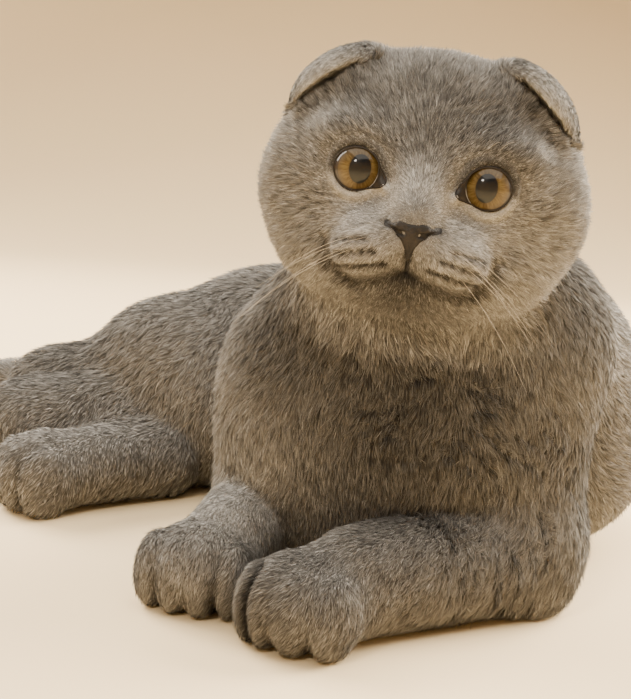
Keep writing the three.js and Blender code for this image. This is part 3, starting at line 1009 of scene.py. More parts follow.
@dataclass
class CoatMap:
    """Says how deep the coat is at any point, how light, and which way it lies."""

    cat: Cat
    lids: Lids = field(default_factory=Lids)
    body_depth: float = 3.2
    head_depth: float = 2.5
    muzzle_depth: float = 0.9
    ear_depth: float = 0.8
    paw_depth: float = 1.5
    fold_step: float = 7.2
    fold_sink: float = 1.9
    crease_sink: float = 1.6
    furrow_sink: float = 0.55
    # Painted shade: fold_shade and crease_shade in the folds and toe creases, furrow_shade in the whisker
    # rows, mouth_shade, cleft_shade and pad_edge_shade in the mouth, the cleft and under the pads,
    # upper_lid_shade above each eye, under_head_shade on the chest under the head, ear_shade under each
    # ear's fold and cup_shade in its hollow. Painted light: ear_light on each ear's fold.
    fold_shade: float = 0.33
    crease_shade: float = 0.6
    furrow_shade: float = 0.42
    root_shade: float = 0.2
    mouth_shade: float = 0.1
    cleft_shade: float = 0.3
    pad_edge_shade: float = 0.13
    lower_lid_light: float = 0.2
    upper_lid_shade: float = 0.24
    under_head_shade: float = 0.16
    ear_light: float = 0.27
    ear_shade: float = 0.14
    cup_shade: float = 0.4
    mottle: float = 0.02
    nose_tip: Point = (0, -54, -20)
    muzzle: Point = (0, -50, -24)
    parting: Point = (0, -54, -14)
    # Face tone: the coat's own marks (a darker forehead and brows, paler fur under the eyes, on the nose
    # bridge and on the pads), mixed with painted light and shade: the pale spot on the left cheek is painted
    # light, the pads' pale tops are partly painted light, and the two dark spots under the chin are painted
    # shade.
    face_marks_and_painted_light: tuple[Spot, ...] = (
        Spot((0, -24, 25), 22, -0.1),
        Spot((26, -26, 18), 13, -0.17),
        Spot((-25, -26, 20), 12, -0.09),
        Spot((0, -34, 11), 8, -0.1),
        Spot((26, -36, -15), 9, 0.15),
        Spot((-26, -36, -15), 9, 0.15),
        Spot((0, -44, -5), 10, 0.22),
        Spot((9, -42, -9), 7, 0.1),
        Spot((-9, -42, -9), 7, 0.1),
        Spot((16, -52, -25), 11, 0.3),
        Spot((-16, -52, -25), 11, 0.28),
        Spot((44, -22, -16), 19, 0.1),
        Spot((0, -50, -39), 7, -0.2),
        Spot((0, -40, -50), 20, -0.34),
    )
    # Painted light and shade on the body: each pale spot is painted light where the sides of the neck and
    # shoulders, the legs and the flank face the lamps, and each dark spot is painted shade, as on the chest
    # under the head and on the right hip.
    body_painted_light_and_shade: tuple[Spot, ...] = (
        Spot((-58, -10, 116), 30, -0.18),
        Spot((4, -30, 90), 44, -0.13),
        Spot((91, 40, 119), 30, 0.24),
        Spot((88, 20, 76), 20, -0.16),
        Spot((75, 0, 39), 24, 0.24),
        Spot((3, -50, 24), 22, -0.09),
        Spot((-40, -72, 13), 24, -0.17),
        Spot((-69, -20, 37), 26, 0.28),
        Spot((-97, 100, 95), 52, 0.15),
        Spot((-174, 200, 34), 44, -0.22),
    )

    def local(self, points: Array) -> Array:
        """Takes points into the head's frame."""
        return self.cat.head_form.inward(points)

    def depth(self, points: Array) -> Array:
        """Gives how deep the coat is at each point, in millimetres.

        Args:
            points: Places, one a row.

        Returns:
            A depth for each.
        """
        local = self.local(points)
        to_head = length_of(local - np.array((0, 0, -6)))
        depth = self.head_depth + (self.body_depth - self.head_depth) * fade(to_head, 50, 84)
        to_muzzle = length_of(local - np.array(self.muzzle))
        depth = self.muzzle_depth + (depth - self.muzzle_depth) * fade(to_muzzle, 15, 62)
        on_face = 1 - fade(local[:, 1], -26, -10)
        depth *= 1 - 0.88 * on_face * (1 - fade(self.lids.gap(local), 1.5, 16))
        for side in Side:
            along, above = self.cat.head.off_fold(side, local)
            near = (1 - fade(np.hypot(along, above), 17, 27)) * (local[:, 0] * side.value > 0)
            depth += (self.ear_depth - depth) * near * fade(above, -3, 1)
        depth *= fade(length_of(local - np.array(self.nose_tip)), 6, 12)
        for leg in self.cat.legs.values():
            to_paw = length_of(points - np.array(leg.paw.centre))
            depth = self.paw_depth + (depth - self.paw_depth) * fade(to_paw, 26, 80)
        return depth

    def sunk(self, points: Array) -> Array:
        """Gives how far folds, toe creases and whisker rows sink the skin, in millimetres.

        Args:
            points: Places, one a row.

        Returns:
            A depth for each.
        """
        sunk = self.fold_sink * self.folds(points) + self.crease_sink * self.creases(points)
        near = self.cat.head_distance(points) < 10
        sunk[near] += self.furrow_sink * self.furrows(self.local(points[near]))
        return sunk

    def creases(self, points: Array) -> Array:
        """Says how deep in a crease between toes each point lies, from 0 to 1.

        Args:
            points: Places, one a row.

        Returns:
            A share for each.
        """
        crease = np.zeros(len(points))
        for leg in self.cat.legs.values():
            near = length_of(points - np.array(leg.paw.centre)) < 48
            crease[near] = np.maximum(crease[near], leg.paw.crease(points[near]))
        return crease

    def furrows(self, local: Array) -> Array:
        """Says how deep in a whisker row each point of the head's frame lies, from 0 to 1."""
        lines = [line for side in Side for line in WhiskerBed(side).furrows()]
        return deepest(lines, local[:, 0], local[:, 2]) * (1 - fade(local[:, 1], -34, -26))

    def folds(self, points: Array) -> Array:
        """Gives how far the coat parts, from 0 to 1, in the folds of the left foreleg and the chest.

        Args:
            points: Places, one a row.

        Returns:
            A share for each.
        """
        wobble = Waves(5, 26).height(points)
        breaks = fade(Waves(6, 20).height(points), -0.7, 0.5)
        return np.maximum(self.arm_folds(points, wobble), self.chest_folds(points, wobble)) * breaks

    def arm_folds(self, points: Array, wobble: Array) -> Array:
        """Gives the folds across the left foreleg.

        Args:
            points: Places, one a row.
            wobble: How far each place's fold strays.

        Returns:
            A share for each.
        """
        shank = Limb((62, 6, 28), (-14, -56, 22), 1, 1)
        share = shank.along(points)
        run = np.array(shank.end) - np.array(shank.start)
        off_axis = length_of(points - np.array(shank.start) - share[:, None] * run)
        along = share * np.linalg.norm(run) + 2.2 * wobble
        on_arm = fade(share, 0.1, 0.24) * (1 - fade(share, 0.62, 0.8)) * (1 - fade(off_axis, 34, 44))
        on_arm *= 1 - fade(points[:, 2], 44, 56)
        return np.maximum(np.cos(2 * math.pi * along / self.fold_step), 0) ** 4 * on_arm

    def chest_folds(self, points: Array, wobble: Array) -> Array:
        """Gives the folds that run round the top of the left foreleg, on the chest.

        Args:
            points: Places, one a row.
            wobble: How far each place's fold strays.

        Returns:
            A share for each.
        """
        ring = length_of(points - np.array((6, -44, 22))) + 3.5 * wobble
        front = (1 - fade(points[:, 1], 0, 30)) * fade(ring, 44, 54) * (1 - fade(ring, 82, 98))
        front *= fade(points[:, 0], -32, 0) * (1 - fade(points[:, 0], 66, 84)) * fade(points[:, 2], 40, 54)
        return np.maximum(np.cos(2 * math.pi * ring / (self.fold_step * 1.15)), 0) ** 4 * front * 0.8

    def flow(self, points: Array, normals: Array) -> Array:
        """Gives the direction in which the coat lies, along the surface.

        Args:
            points: Places, one a row.
            normals: The skin's normal at each.

        Returns:
            A unit vector for each.
        """
        cat = self.cat
        nearness = [cat.head_distance(points), np.minimum(cat.neck(points), cat.torso(points))]
        ways = [self.head_way(points), self.trunk_way(points)]
        for name, leg in cat.legs.items():
            way = np.array(leg.axis[1], float) - np.array(leg.axis[0], float)
            way = way / np.linalg.norm(way) * 0.6 + np.array((0, 0, -0.8))
            ways.append(np.broadcast_to(way, points.shape))
            nearness.append(np.minimum(cat.limbs[name](points), leg.root(points) + 6))
        tail_way = np.array(cat.tail.at(0.9)) - np.array(cat.tail.at(0.1))
        ways.append(np.broadcast_to(tail_way / np.linalg.norm(tail_way), points.shape))
        nearness.append(cat.tail_form(points))
        total = np.zeros_like(points)
        for way, distance in zip(ways, nearness):
            total += way * np.exp(-np.clip(distance, -4, 60) / 5)[:, None]
        return across(total, normals)

    def head_way(self, points: Array) -> Array:
        """Gives the way the head's coat lies: away from the nose, and down over the ears.

        Args:
            points: Places, one a row.

        Returns:
            A unit vector for each, or a mix of two.
        """
        local = self.local(points)
        placed = self.cat.head_form
        head_way = placed.spread(unit(local - np.array(self.parting)))
        on_left = np.sign(local[:, 0:1])
        down = np.concatenate([0.5 * on_left, 0 * on_left - 0.5, 0 * on_left - 0.7], 1)
        ear_way = placed.spread(unit(down))
        on_ear = np.zeros(len(points))
        for side in Side:
            along, above = self.cat.head.off_fold(side, local)
            near = (1 - fade(np.hypot(along, above), 17, 25)) * (local[:, 0] * side.value > 0)
            on_ear += near * fade(above, -1.5, 1.0)
        return head_way * (1 - on_ear[:, None]) + ear_way * on_ear[:, None]

    def trunk_way(self, points: Array) -> Array:
        """Gives the way the trunk's coat lies: down the chest, and back along the spine and down.

        Args:
            points: Places, one a row.

        Returns:
            A vector for each.
        """
        chest_way = np.stack([0.004 * points[:, 0], 0 * points[:, 0] - 0.12, 0 * points[:, 0] - 1], 1)
        backward = fade(points[:, 1], 2, 60)[:, None]
        back_way = self.spine_way(points) + np.array((0, 0, -0.55))
        return unit(chest_way) * (1 - backward) + unit(back_way) * backward

    def spine_way(self, points: Array) -> Array:
        """Gives the spine's direction next to each point.

        Args:
            points: Places, one a row.

        Returns:
            A unit vector for each.
        """
        best = np.full(len(points), 1e9)
        way = np.zeros_like(points)
        for a, b in zip(self.cat.spine, self.cat.spine[1:]):
            distance = Limb(a, b, 0, 0)(points)
            nearer = distance < best
            best[nearer] = distance[nearer]
            run = np.array(b, float) - np.array(a, float)
            way[nearer] = run / np.linalg.norm(run)
        return way

    def streaks(self, points: Array) -> Array:
        """Gives the shade of fine streaks that run along the lie of the coat, strongest on the face.

        Args:
            points: Places, one a row.

        Returns:
            A change of lightness for each.
        """
        from_nose = self.local(points) - np.array(self.parting)
        far = length_of(from_nose)[:, None]
        on_face = from_nose * 60 / np.maximum(far, 1) + far * np.array((0.15, 0.28, 0.2))
        on_body = points * np.array((1, 1, 0.4))
        face_share = 1 - fade(self.cat.head_distance(points), 3, 14)
        streaks = Waves(23, 1.6).height(np.where(face_share[:, None] > 0.5, on_face, on_body))
        broad = Waves(24, 5).height(points)
        return (0.03 + 0.07 * face_share) * streaks + 0.01 * broad

    def tone(self, points: Array) -> Array:
        """Gives the change of tone: above 0 lighter, below 0 darker. It holds the coat's own marks and
        random mottle, with painted light and shade.

        Args:
            points: Places, one a row.

        Returns:
            A change of lightness for each.
        """
        tone = np.zeros(len(points))
        near = self.cat.head_distance(points) < 14
        tone[near] = self.face_tone(self.local(points[near]))
        mottle = Waves(11, 15).height(points) + 0.8 * Waves(12, 6).height(points)
        # Painted shadow of the head, darkening the chest under it.
        under_head = np.exp(-(((points[:, 0] - 4) / 52) ** 2)) * (1 - fade(points[:, 1], -20, 20))
        under_head *= fade(points[:, 2], 34, 60) * (1 - fade(points[:, 2], 130, 150))
        tone -= self.under_head_shade * under_head * (~near)
        off_head = fade(self.cat.head_distance(points), 2, 14)
        # Painted light and shade on the body, away from the head.
        tone += off_head * np.sum([spot.at(points) for spot in self.body_painted_light_and_shade], axis=0)
        # Painted shade in the folds of the left foreleg and the chest and in the creases between the toes;
        # the mottle is random tone.
        tone += self.mottle * mottle - self.fold_shade * self.folds(points)
        return tone - self.crease_shade * self.creases(points)

    def face_tone(self, local: Array) -> Array:
        """Gives the head's change of tone, at points of its frame: its own marks, with painted light and
        shade.

        Args:
            local: Points of the head's frame.

        Returns:
            A change of lightness for each.
        """
        x, y, z = local.T
        marks_light_and_shade = np.sum([spot.at(local) for spot in self.face_marks_and_painted_light], axis=0)
        in_front = 1 - fade(y, -34, -26)
        broken = 0.6 + 0.4 * fade(Waves(31, 2.6).height(local), -0.7, 0.5)
        # Painted shade in the furrows of the whisker rows, which also hold the dark dots of the whisker
        # roots.
        rows = self.furrow_shade * self.furrows(local) * broken + self.root_shade * self.root_dots(x, z)
        marks_light_and_shade -= in_front * rows
        # Painted shade in the mouth, the cleft under the nose and under the lower edges of the pads.
        mouth = deepest(self.cat.head.mouth_lines(), x, z)
        mouth_dark = self.mouth_shade + self.cleft_shade * np.exp(-((x / 4.5) ** 2))
        marks_light_and_shade -= mouth_dark * mouth * in_front * (z < -27)
        marks_light_and_shade -= self.pad_edge_shade * deepest(self.cat.head.pad_lines(), x, z) * (1 - fade(y, -30, -18))
        return marks_light_and_shade + self.lid_tone(local) + self.ear_tone(local)

    def root_dots(self, x: Array, z: Array) -> Array:
        """Gives the dark dots of the whisker roots, seen from the front, from 0 to 1.

        Args:
            x: Places across, seen from the front.
            z: Places up.

        Returns:
            A share for each.
        """
        dots = np.zeros(len(x))
        for side in Side:
            for root_x, _, root_z in WhiskerBed(side).roots():
                away2 = (x - root_x) ** 2 + ((z - root_z) * 1.2) ** 2
                dots += np.exp(-away2 / 1.2**2)
        return np.minimum(dots, 1)

    def lid_tone(self, local: Array) -> Array:
        """Gives the pale band of fur below each eye and the painted shade of the upper lid above it.

        Args:
            local: Points of the head's frame.

        Returns:
            A change of lightness for each.
        """
        gap = self.lids.gap(local)
        below = fade((self.cat.head.eye_place[1] - local[:, 2]) / (gap + 9), -0.05, 0.5)
        on_front = 1 - fade(local[:, 1], -26, -16)
        pale = self.lower_lid_light * below * (1 - fade(gap, 1.2, 6)) * on_front
        # The band taken off above each eye is painted shade of the upper lid.
        return pale - self.upper_lid_shade * (1 - below) * (1 - fade(gap, 0.4, 4.2)) * on_front

    def ear_tone(self, local: Array) -> Array:
        """Gives the painted light on the fold of each ear, the painted shadow under the fold and the painted
        shade in its hollow.

        Args:
            local: Points of the head's frame.

        Returns:
            A change of lightness for each.
        """
        head = self.cat.head
        change = np.zeros(len(local))
        for side in Side:
            along, above = head.off_fold(side, local)
            near = np.exp(-((along / 17) ** 4)) * (1 - fade(local[:, 1], -8, 4))
            near *= local[:, 0] * side.value > 0
            # Painted light on the fold, painted shadow under it and painted shade in the hollow.
            pale = self.ear_light * fade(above, 0.5, 2.2) * (1 - fade(above, 10, 16))
            shade = self.ear_shade * fade(-above, 0.2, 1.5) * (1 - fade(-above, 4, 15))
            hollow = self.cup_shade * (1 - fade(head.ear_cup(side)(local), -1.0, 0.8))
            change += near * (pale - shade) - hollow
        return change


class Patch(Enum):
    """The stretches of the coat, each a piece of its own."""

    FACE_LEFT = "face_left"
    FACE_RIGHT = "face_right"
    CROWN = "crown"
    CHEST = "chest"
    FLANK = "flank"
    RUMP = "rump"
    FORELEG_LEFT = "foreleg_left"
    FORELEG_RIGHT = "foreleg_right"
    HINDLEGS = "hindlegs"
    TAIL = "tail"


@dataclass
class Skin:
    """The one skin that all of the coat grows from."""

    cat: Cat
    coat: CoatMap
    floor_gap: float = 1.0
    floor_blend: float = 3
    steps: tuple[float, float] = (1.15, 3.0)
    quick_steps: tuple[float, float] = (2.2, 4.5)
    x_reach: tuple[float, ...] = (-288, 146, -60, 66)
    y_reach: tuple[float, ...] = (-112, 364, -84, -4)
    z_reach: tuple[float, ...] = (-4, 244, 132, 236)

    def form(self, points: Array) -> Array:
        """Gives the distance to the skin, which lies under the coat by the coat's depth."""
        inner = self.cat.surface(points) + self.coat.depth(points) + self.coat.sunk(points)
        return -soft(-inner, points[:, 2] - self.floor_gap, self.floor_blend)

    def axes(self) -> list[Array]:
        """Lays out the grid: the low and high ends of each axis, and of its fine stretch at the head.

        Returns:
            The positions along X, Y and Z.
        """
        steps = self.steps
        reaches = (self.x_reach, self.y_reach, self.z_reach)
        return [GradedAxis(*reach, *steps).positions() for reach in reaches]

    def build(self) -> None:
        """Meshes the skin and works out what the coat needs at each of its points."""
        points, faces = netted(self.form, self.axes())
        values = self.form(points)
        slope = gradient(self.form, points, values)
        steep2 = np.maximum((slope * slope).sum(1), 0.2)
        move = np.clip(values / steep2, -1.2, 1.2)
        self.points = points - slope * move[:, None]
        self.faces = faces
        self.normals = unit(slope)
        self.depth = self.coat.depth(self.points)
        self.flow = self.coat.flow(self.points, self.normals)
        self.tone = self.coat.tone(self.points)
        log.info("skin: %d points, %d faces", len(points), len(faces))

    def piece(self) -> Piece:
        """Makes the skin's object.

        Returns:
            The object.
        """
        skin = build_mesh("skin", self.points, self.faces)
        store(skin, "tone", self.tone)
        return skin


@dataclass
class Tufts:
    """Roots of the tufts, with the skin's values at each."""

    roots: Array
    normals: Array
    flow: Array
    depth: Array
    tone: Array
    spacing: Array
    patch: Array

    def only(self, own: Array) -> "Tufts":
        """Picks some of the tufts."""
        return Tufts(*(getattr(self, part.name)[own] for part in fields(self)))


def evened(values: Array) -> Array:
    """Spreads values evenly from 0 to 1, in their own order."""
    return (np.argsort(np.argsort(values)) + 0.5) / len(values)


def tuft_counts() -> dict[Patch, int]:
    """Says how many tufts each patch has.

    Returns:
        The counts by patch.
    """
    return {
        Patch.FACE_LEFT: 97000, Patch.FACE_RIGHT: 97000, Patch.CROWN: 56000, Patch.CHEST: 98000,
        Patch.FLANK: 78000, Patch.RUMP: 66000, Patch.FORELEG_LEFT: 96000, Patch.FORELEG_RIGHT: 66000,
        Patch.HINDLEGS: 64000, Patch.TAIL: 20000,
    }


@dataclass
class Coat:
    """The plush coat: thin leaf-shaped tufts that lie along the skin."""

    skin: Skin
    seed: int = 7
    quick_share: float = 0.12
    clump_size: float = 7.5
    sway_size: float = 34
    stray: float = 0.16
    resting_angle: float = 17
    long_lift: float = 10
    root_rise: float = 0.16
    tip_droop: float = 0.24
    root_sink: float = 0.3
    lowest: float = 0.2
    flat_margin: float = 0.002
    flat_half: float = 0.0014
    counts: dict[Patch, int] = field(default_factory=tuft_counts)

    def triangles(self) -> tuple[Array, Array, Array]:
        """Splits the skin's faces in two, with each triangle's area and middle.

        Returns:
            The triangles' point numbers, their areas and their middles.
        """
        faces = self.skin.faces
        corners = np.concatenate([faces[:, [0, 1, 2]], faces[:, [0, 2, 3]]])
        a, b, c = (self.skin.points[corners[:, i]] for i in range(3))
        return corners, length_of(np.cross(b - a, c - a)) / 2, (a + b + c) / 3

    def patches(self, middles: Array) -> Array:
        """Says which patch each place belongs to, as its number in the list of patches.

        Args:
            middles: Places on the skin, one a row.

        Returns:
            A number for each.
        """
        cat = self.skin.cat
        number = {patch: place for place, patch in enumerate(Patch)}
        trunk = np.minimum(cat.neck(middles), cat.torso(middles))
        head = cat.head_distance(middles)
        patch = np.where(middles[:, 1] < 34, number[Patch.CHEST], number[Patch.FLANK])
        patch = np.where(middles[:, 1] > 128, number[Patch.RUMP], patch)
        nearest = np.minimum(trunk, head)
        for name, target in (
            ("foreleg_left", Patch.FORELEG_LEFT), ("foreleg_right", Patch.FORELEG_RIGHT),
            ("hindleg_right", Patch.HINDLEGS), ("hindleg_left", Patch.HINDLEGS),
        ):
            own = cat.limbs[name](middles)
            if target is Patch.HINDLEGS:
                own = np.minimum(own, cat.legs[name].root(middles))
            patch = np.where(own < nearest, number[target], patch)
            nearest = np.minimum(nearest, own)
        patch = np.where(cat.tail_form(middles) < nearest, number[Patch.TAIL], patch)
        on_head = (head < trunk) & (head < 12)
        local = self.skin.coat.local(middles)
        face = np.where(local[:, 0] > 0, number[Patch.FACE_LEFT], number[Patch.FACE_RIGHT])
        return np.where(on_head, np.where(local[:, 1] < -4, face, number[Patch.CROWN]), patch)

    def density(self, middles: Array) -> Array:
        """Gives how closely tufts grow, next to the rest of their patch.

        Args:
            middles: Places on the skin, one a row.

        Returns:
            A share for each.
        """
        local = self.skin.coat.local(middles)
        near_muzzle = 1 - fade(length_of(local - np.array((0, -46, -16))), 20, 50)
        head = self.skin.cat.head
        cup = np.minimum(head.ear_cup(Side.LEFT)(local), head.ear_cup(Side.RIGHT)(local))
        in_cup = (1 - fade(cup, -2, 1)) * (length_of(local) < 75)
        under = fade(middles[:, 2], 2.0, 9.0)
        thick = (1 + 0.6 * near_muzzle) * (0.12 + 0.88 * under)
        return thick * (1 - self.bare(local)) * (1 - 0.6 * in_cup)

    def bare(self, local: Array) -> Array:
        """Says where no coat grows: over the eyes and on the nose leather.

        Args:
            local: Points of the head's frame.

        Returns:
            A share for each, 1 where none grows.
        """
        over_eye = (1 - fade(self.skin.coat.lids.gap(local), -0.1, 0.5)) * (local[:, 1] < -22)
        on_nose = (1 - fade(NoseLeather.outline(local), -0.3, 0.4)) * (local[:, 1] < -45)
        return np.maximum(over_eye, on_nose)

    def grow(self) -> Tufts:
        """Draws the roots over the skin, as many in each patch as it is to have.

        Returns:
            The roots.
        """
        draw = np.random.default_rng(self.seed)
        corners, areas, middles = self.triangles()
        patch = self.patches(middles)
        expected = areas * self.density(middles)
        for number, name in enumerate(Patch):
            own = patch == number
            wanted = self.counts[name] * 1
            expected[own] *= wanted / max(expected[own].sum(), 1e-6)
        counts = np.floor(expected + draw.random(len(expected))).astype(int)
        triangle = np.repeat(np.arange(len(areas)), counts)
        u, v = draw.random((2, len(triangle)))
        flip = u + v > 1
        u[flip], v[flip] = 1 - u[flip], 1 - v[flip]
        weights = np.stack([1 - u - v, u, v], 1)[..., None]
        skin = self.skin
        ends = corners[triangle]
        fields_at = (skin.points, skin.normals, skin.flow)
        roots, normals, flow = ((values[ends] * weights).sum(1) for values in fields_at)
        normals = unit(normals)
        depth = (skin.depth[ends] * weights[..., 0]).sum(1)
        spacing = 1 / np.sqrt(np.maximum(expected / np.maximum(areas, 1e-6), 0.05))[triangle]
        tone = skin.coat.tone(roots)
        return Tufts(roots, normals, across(flow, normals), depth, tone, spacing, patch[triangle])

    def leaves(self, tufts: Tufts, draw: np.random.Generator) -> tuple[Array, Array, Array]:
        """Shapes each tuft as a bent leaf of two triangles.

        Args:
            tufts: The roots.
            draw: The source of random numbers.

        Returns:
            The four points of each leaf, the normals they shade with, and each tuft's own shade.
        """
        count = len(tufts.roots)
        long = fade(tufts.depth, 0.8, 4.0)[:, None]
        side = np.cross(tufts.flow, tufts.normals)
        clump = Waves(21, self.clump_size)
        pull = across(clump.slope(tufts.roots) + 1e-6, tufts.normals) * (0.1 + 0.2 * long)
        sway = Waves(22, self.sway_size).height(tufts.roots)[:, None] * side * 0.25
        stray = side * draw.normal(0, self.stray, (count, 1))
        flow = self.part_at_folds(tufts, across(tufts.flow + pull + sway + stray, tufts.normals))
        side = np.cross(flow, tufts.normals)
        rest = self.resting_angle + self.long_lift * long[:, 0]
        lean = np.radians(rest + draw.normal(0, 6, count))
        reach = np.maximum(tufts.depth * draw.uniform(0.75, 1.1, count) / np.sin(np.radians(rest)), 0.9)

        def step(angle: Array) -> Array:
            """Gives half of the leaf's run at an angle above the skin."""
            rise = tufts.normals * np.sin(angle)[:, None] + flow * np.cos(angle)[:, None]
            return rise * (reach / 2)[:, None]

        middle = tufts.roots + step(lean + self.root_rise)
        tip = middle + step(np.maximum(lean - self.tip_droop, 0.05))
        roll = draw.normal(0, 0.5, count)[:, None]
        up = np.cross(side, unit(tip - tufts.roots))
        edge = side * np.cos(roll) + up * np.sin(roll)
        width = (tufts.spacing * 0.44 + 0.06) * draw.uniform(0.7, 1.3, count)
        half = edge * (np.minimum(width, reach * 0.18) / 2)[:, None]
        root = tufts.roots - tufts.normals * self.root_sink
        corners = np.stack([root, middle + half, middle - half, tip], 1)
        corners[..., 2] = np.maximum(corners[..., 2], self.lowest)
        shade_normal = unit(tufts.normals + pull * 0.6 + flow * 0.2 + draw.normal(0, 0.13, (count, 3)))
        clumped = 0.02 * clump.height(tufts.roots) * long[:, 0] + self.skin.coat.streaks(tufts.roots)
        shade = clumped + draw.normal(0, 1, count) * (0.14 - 0.06 * long[:, 0])
        return corners, shade_normal, shade

    def part_at_folds(self, tufts: Tufts, flow: Array) -> Array:
        """Turns the tufts away from each fold, so that the coat parts there.

        Args:
            tufts: The roots.
            flow: The way that each tuft lies.

        Returns:
            The new ways.
        """
        coat = self.skin.coat
        ahead = coat.folds(tufts.roots + tufts.flow * 1.2)
        behind = coat.folds(tufts.roots - tufts.flow * 1.2)
        turn = np.clip((ahead - behind) * 2.2, -1.6, 1.6)
        return across(flow - tufts.flow * turn[:, None] * 0.8 + 1e-6, tufts.normals)

    def unwrap(self, roots: Array, patch: Patch) -> Array:
        """Lays a patch of the skin out flat, round the line that the patch runs along.

        Args:
            roots: Places on the skin.
            patch: The patch that they are all in.

        Returns:
            Two coordinates a root, evenly spread from 0 to 1.
        """
        cat = self.skin.cat
        lines = {
            Patch.FORELEG_LEFT: cat.legs["foreleg_left"].axis,
            Patch.FORELEG_RIGHT: cat.legs["foreleg_right"].axis,
            Patch.HINDLEGS: cat.legs["hindleg_right"].axis,
            Patch.TAIL: tuple(cat.tail.at(share) for share in (0, 0.33, 0.66, 1)),
            Patch.CHEST: ((0, 10, 160), (0, 10, 0)),
            Patch.FLANK: cat.spine[1:5],
            Patch.RUMP: cat.spine[3:],
        }
        head_line = tuple(cat.head_form.outward(np.array([(0, 10, 60), (0, 10, -60)], float)))
        line = [np.array(point, float) for point in lines.get(patch, head_line)]
        best = np.full(len(roots), 1e9)
        along, round_by = np.zeros(len(roots)), np.zeros(len(roots))
        run_before = 0.0
        for a, b in zip(line, line[1:]):
            run = b - a
            size = np.linalg.norm(run)
            share = (roots - a) @ run / size**2
            share = np.clip(share, 0 if run_before else -9, 1 if b is not line[-1] else 9)
            away = roots - a - share[:, None] * run
            distance = length_of(away)
            upright = np.array((0, 0, 1.0)) if abs(run[2]) < 0.8 * size else np.array((0, 1.0, 0))
            first = np.cross(run / size, upright)
            first /= np.linalg.norm(first)
            second = np.cross(first, run / size)
            nearer = distance < best
            best[nearer] = distance[nearer]
            along[nearer] = (run_before + share * size)[nearer]
            round_by[nearer] = np.arctan2(away @ first, away @ second)[nearer]
            run_before += size
        return np.stack([evened(round_by), evened(along)], 1)

    def piece(self, patch: Patch, tufts: Tufts, draw: np.random.Generator) -> Piece:
        """Makes one patch of the coat.

        Args:
            patch: The patch.
            tufts: Its tufts.
            draw: The source of random numbers.

        Returns:
            The patch's object.
        """
        corners, normals, shade = self.leaves(tufts, draw)
        count = len(corners)
        first = np.arange(count)[:, None] * 4
        faces = np.concatenate([first + np.array([0, 1, 2]), first + np.array([1, 3, 2])], 1).reshape(-1, 3)
        coat = build_mesh(f"coat_{patch.value}", corners.reshape(-1, 3), faces)
        store(coat, "tone", np.repeat(tufts.tone, 4))
        store(coat, "shade", np.repeat(shade, 4))
        store(coat, "tip", np.tile([0.0, 0.55, 0.55, 1.0], count))
        lie = coat.data.attributes.new("coat_normal", "FLOAT_VECTOR", "POINT")
        lie.data.foreach_set("vector", np.repeat(normals, 4, axis=0).astype(np.float32).ravel())
        places = self.unwrap(tufts.roots, patch) * (1 - 2 * self.flat_margin) + self.flat_margin
        leaf = np.array([(0, -1), (1, 0), (-1, 0), (0, 1)]) * self.flat_half
        flat = (places[:, None, :] + leaf[None]).reshape(-1, 2)
        layer = coat.data.uv_layers.new(name="OFBake")
        layer.uv.foreach_set("vector", flat[faces.ravel()].astype(np.float32).ravel())
        log.info("coat %s: %d tufts", patch.value, count)
        return coat

    def pieces(self) -> Iterable[tuple[Patch, Piece]]:
        """Makes every patch.

        Returns:
            Each patch with its object, one at a time.
        """
        tufts = self.grow()
        draw = np.random.default_rng(self.seed + 1)
        for number, patch in enumerate(Patch):
            yield patch, self.piece(patch, tufts.only(tufts.patch == number), draw)


# Eyes, lids, nose and whiskers


def tube(
    path: Array, radii: Array, sides: int, closed: bool, upright: Point = (0, 1, 0)
) -> tuple[Array, Array]:
    """Wraps a round skin about a path.

    Args:
        path: The path's points, in millimetres.
        radii: The radius at each point.
        sides: The number of points round it.
        closed: Whether the path joins up with its start.
        upright: A direction that the path never runs along.

    Returns:
        The points and the four-sided faces.
    """
    if closed:
        run = unit(np.roll(path, -1, 0) - np.roll(path, 1, 0))
    else:
        run = unit(np.gradient(path, axis=0))
    first = unit(np.cross(run, np.array(upright, float)))
    second = np.cross(first, run)
    turns = np.arange(sides) * 2 * math.pi / sides
    ring = first[:, None] * np.cos(turns)[None, :, None] + second[:, None] * np.sin(turns)[None, :, None]
    points = path[:, None] + ring * np.asarray(radii)[:, None, None]
    return points.reshape(-1, 3), wrapped_faces(len(path), sides, closed)


def struck(form: Form, starts: Array, way: Point, rounds: int = 60) -> Array:
    """Slides points along a direction until they meet a form.

    Args:
        form: The form to meet.
        starts: Where the points start.
        way: The direction, of length 1.
        rounds: The number of steps.

    Returns:
        The points on the form.
    """
    pace = 0.7
    points = starts.astype(float)
    for _ in range(rounds):
        points = points + np.array(way) * (pace * np.clip(form(points), -4, 12))[:, None]
    return points


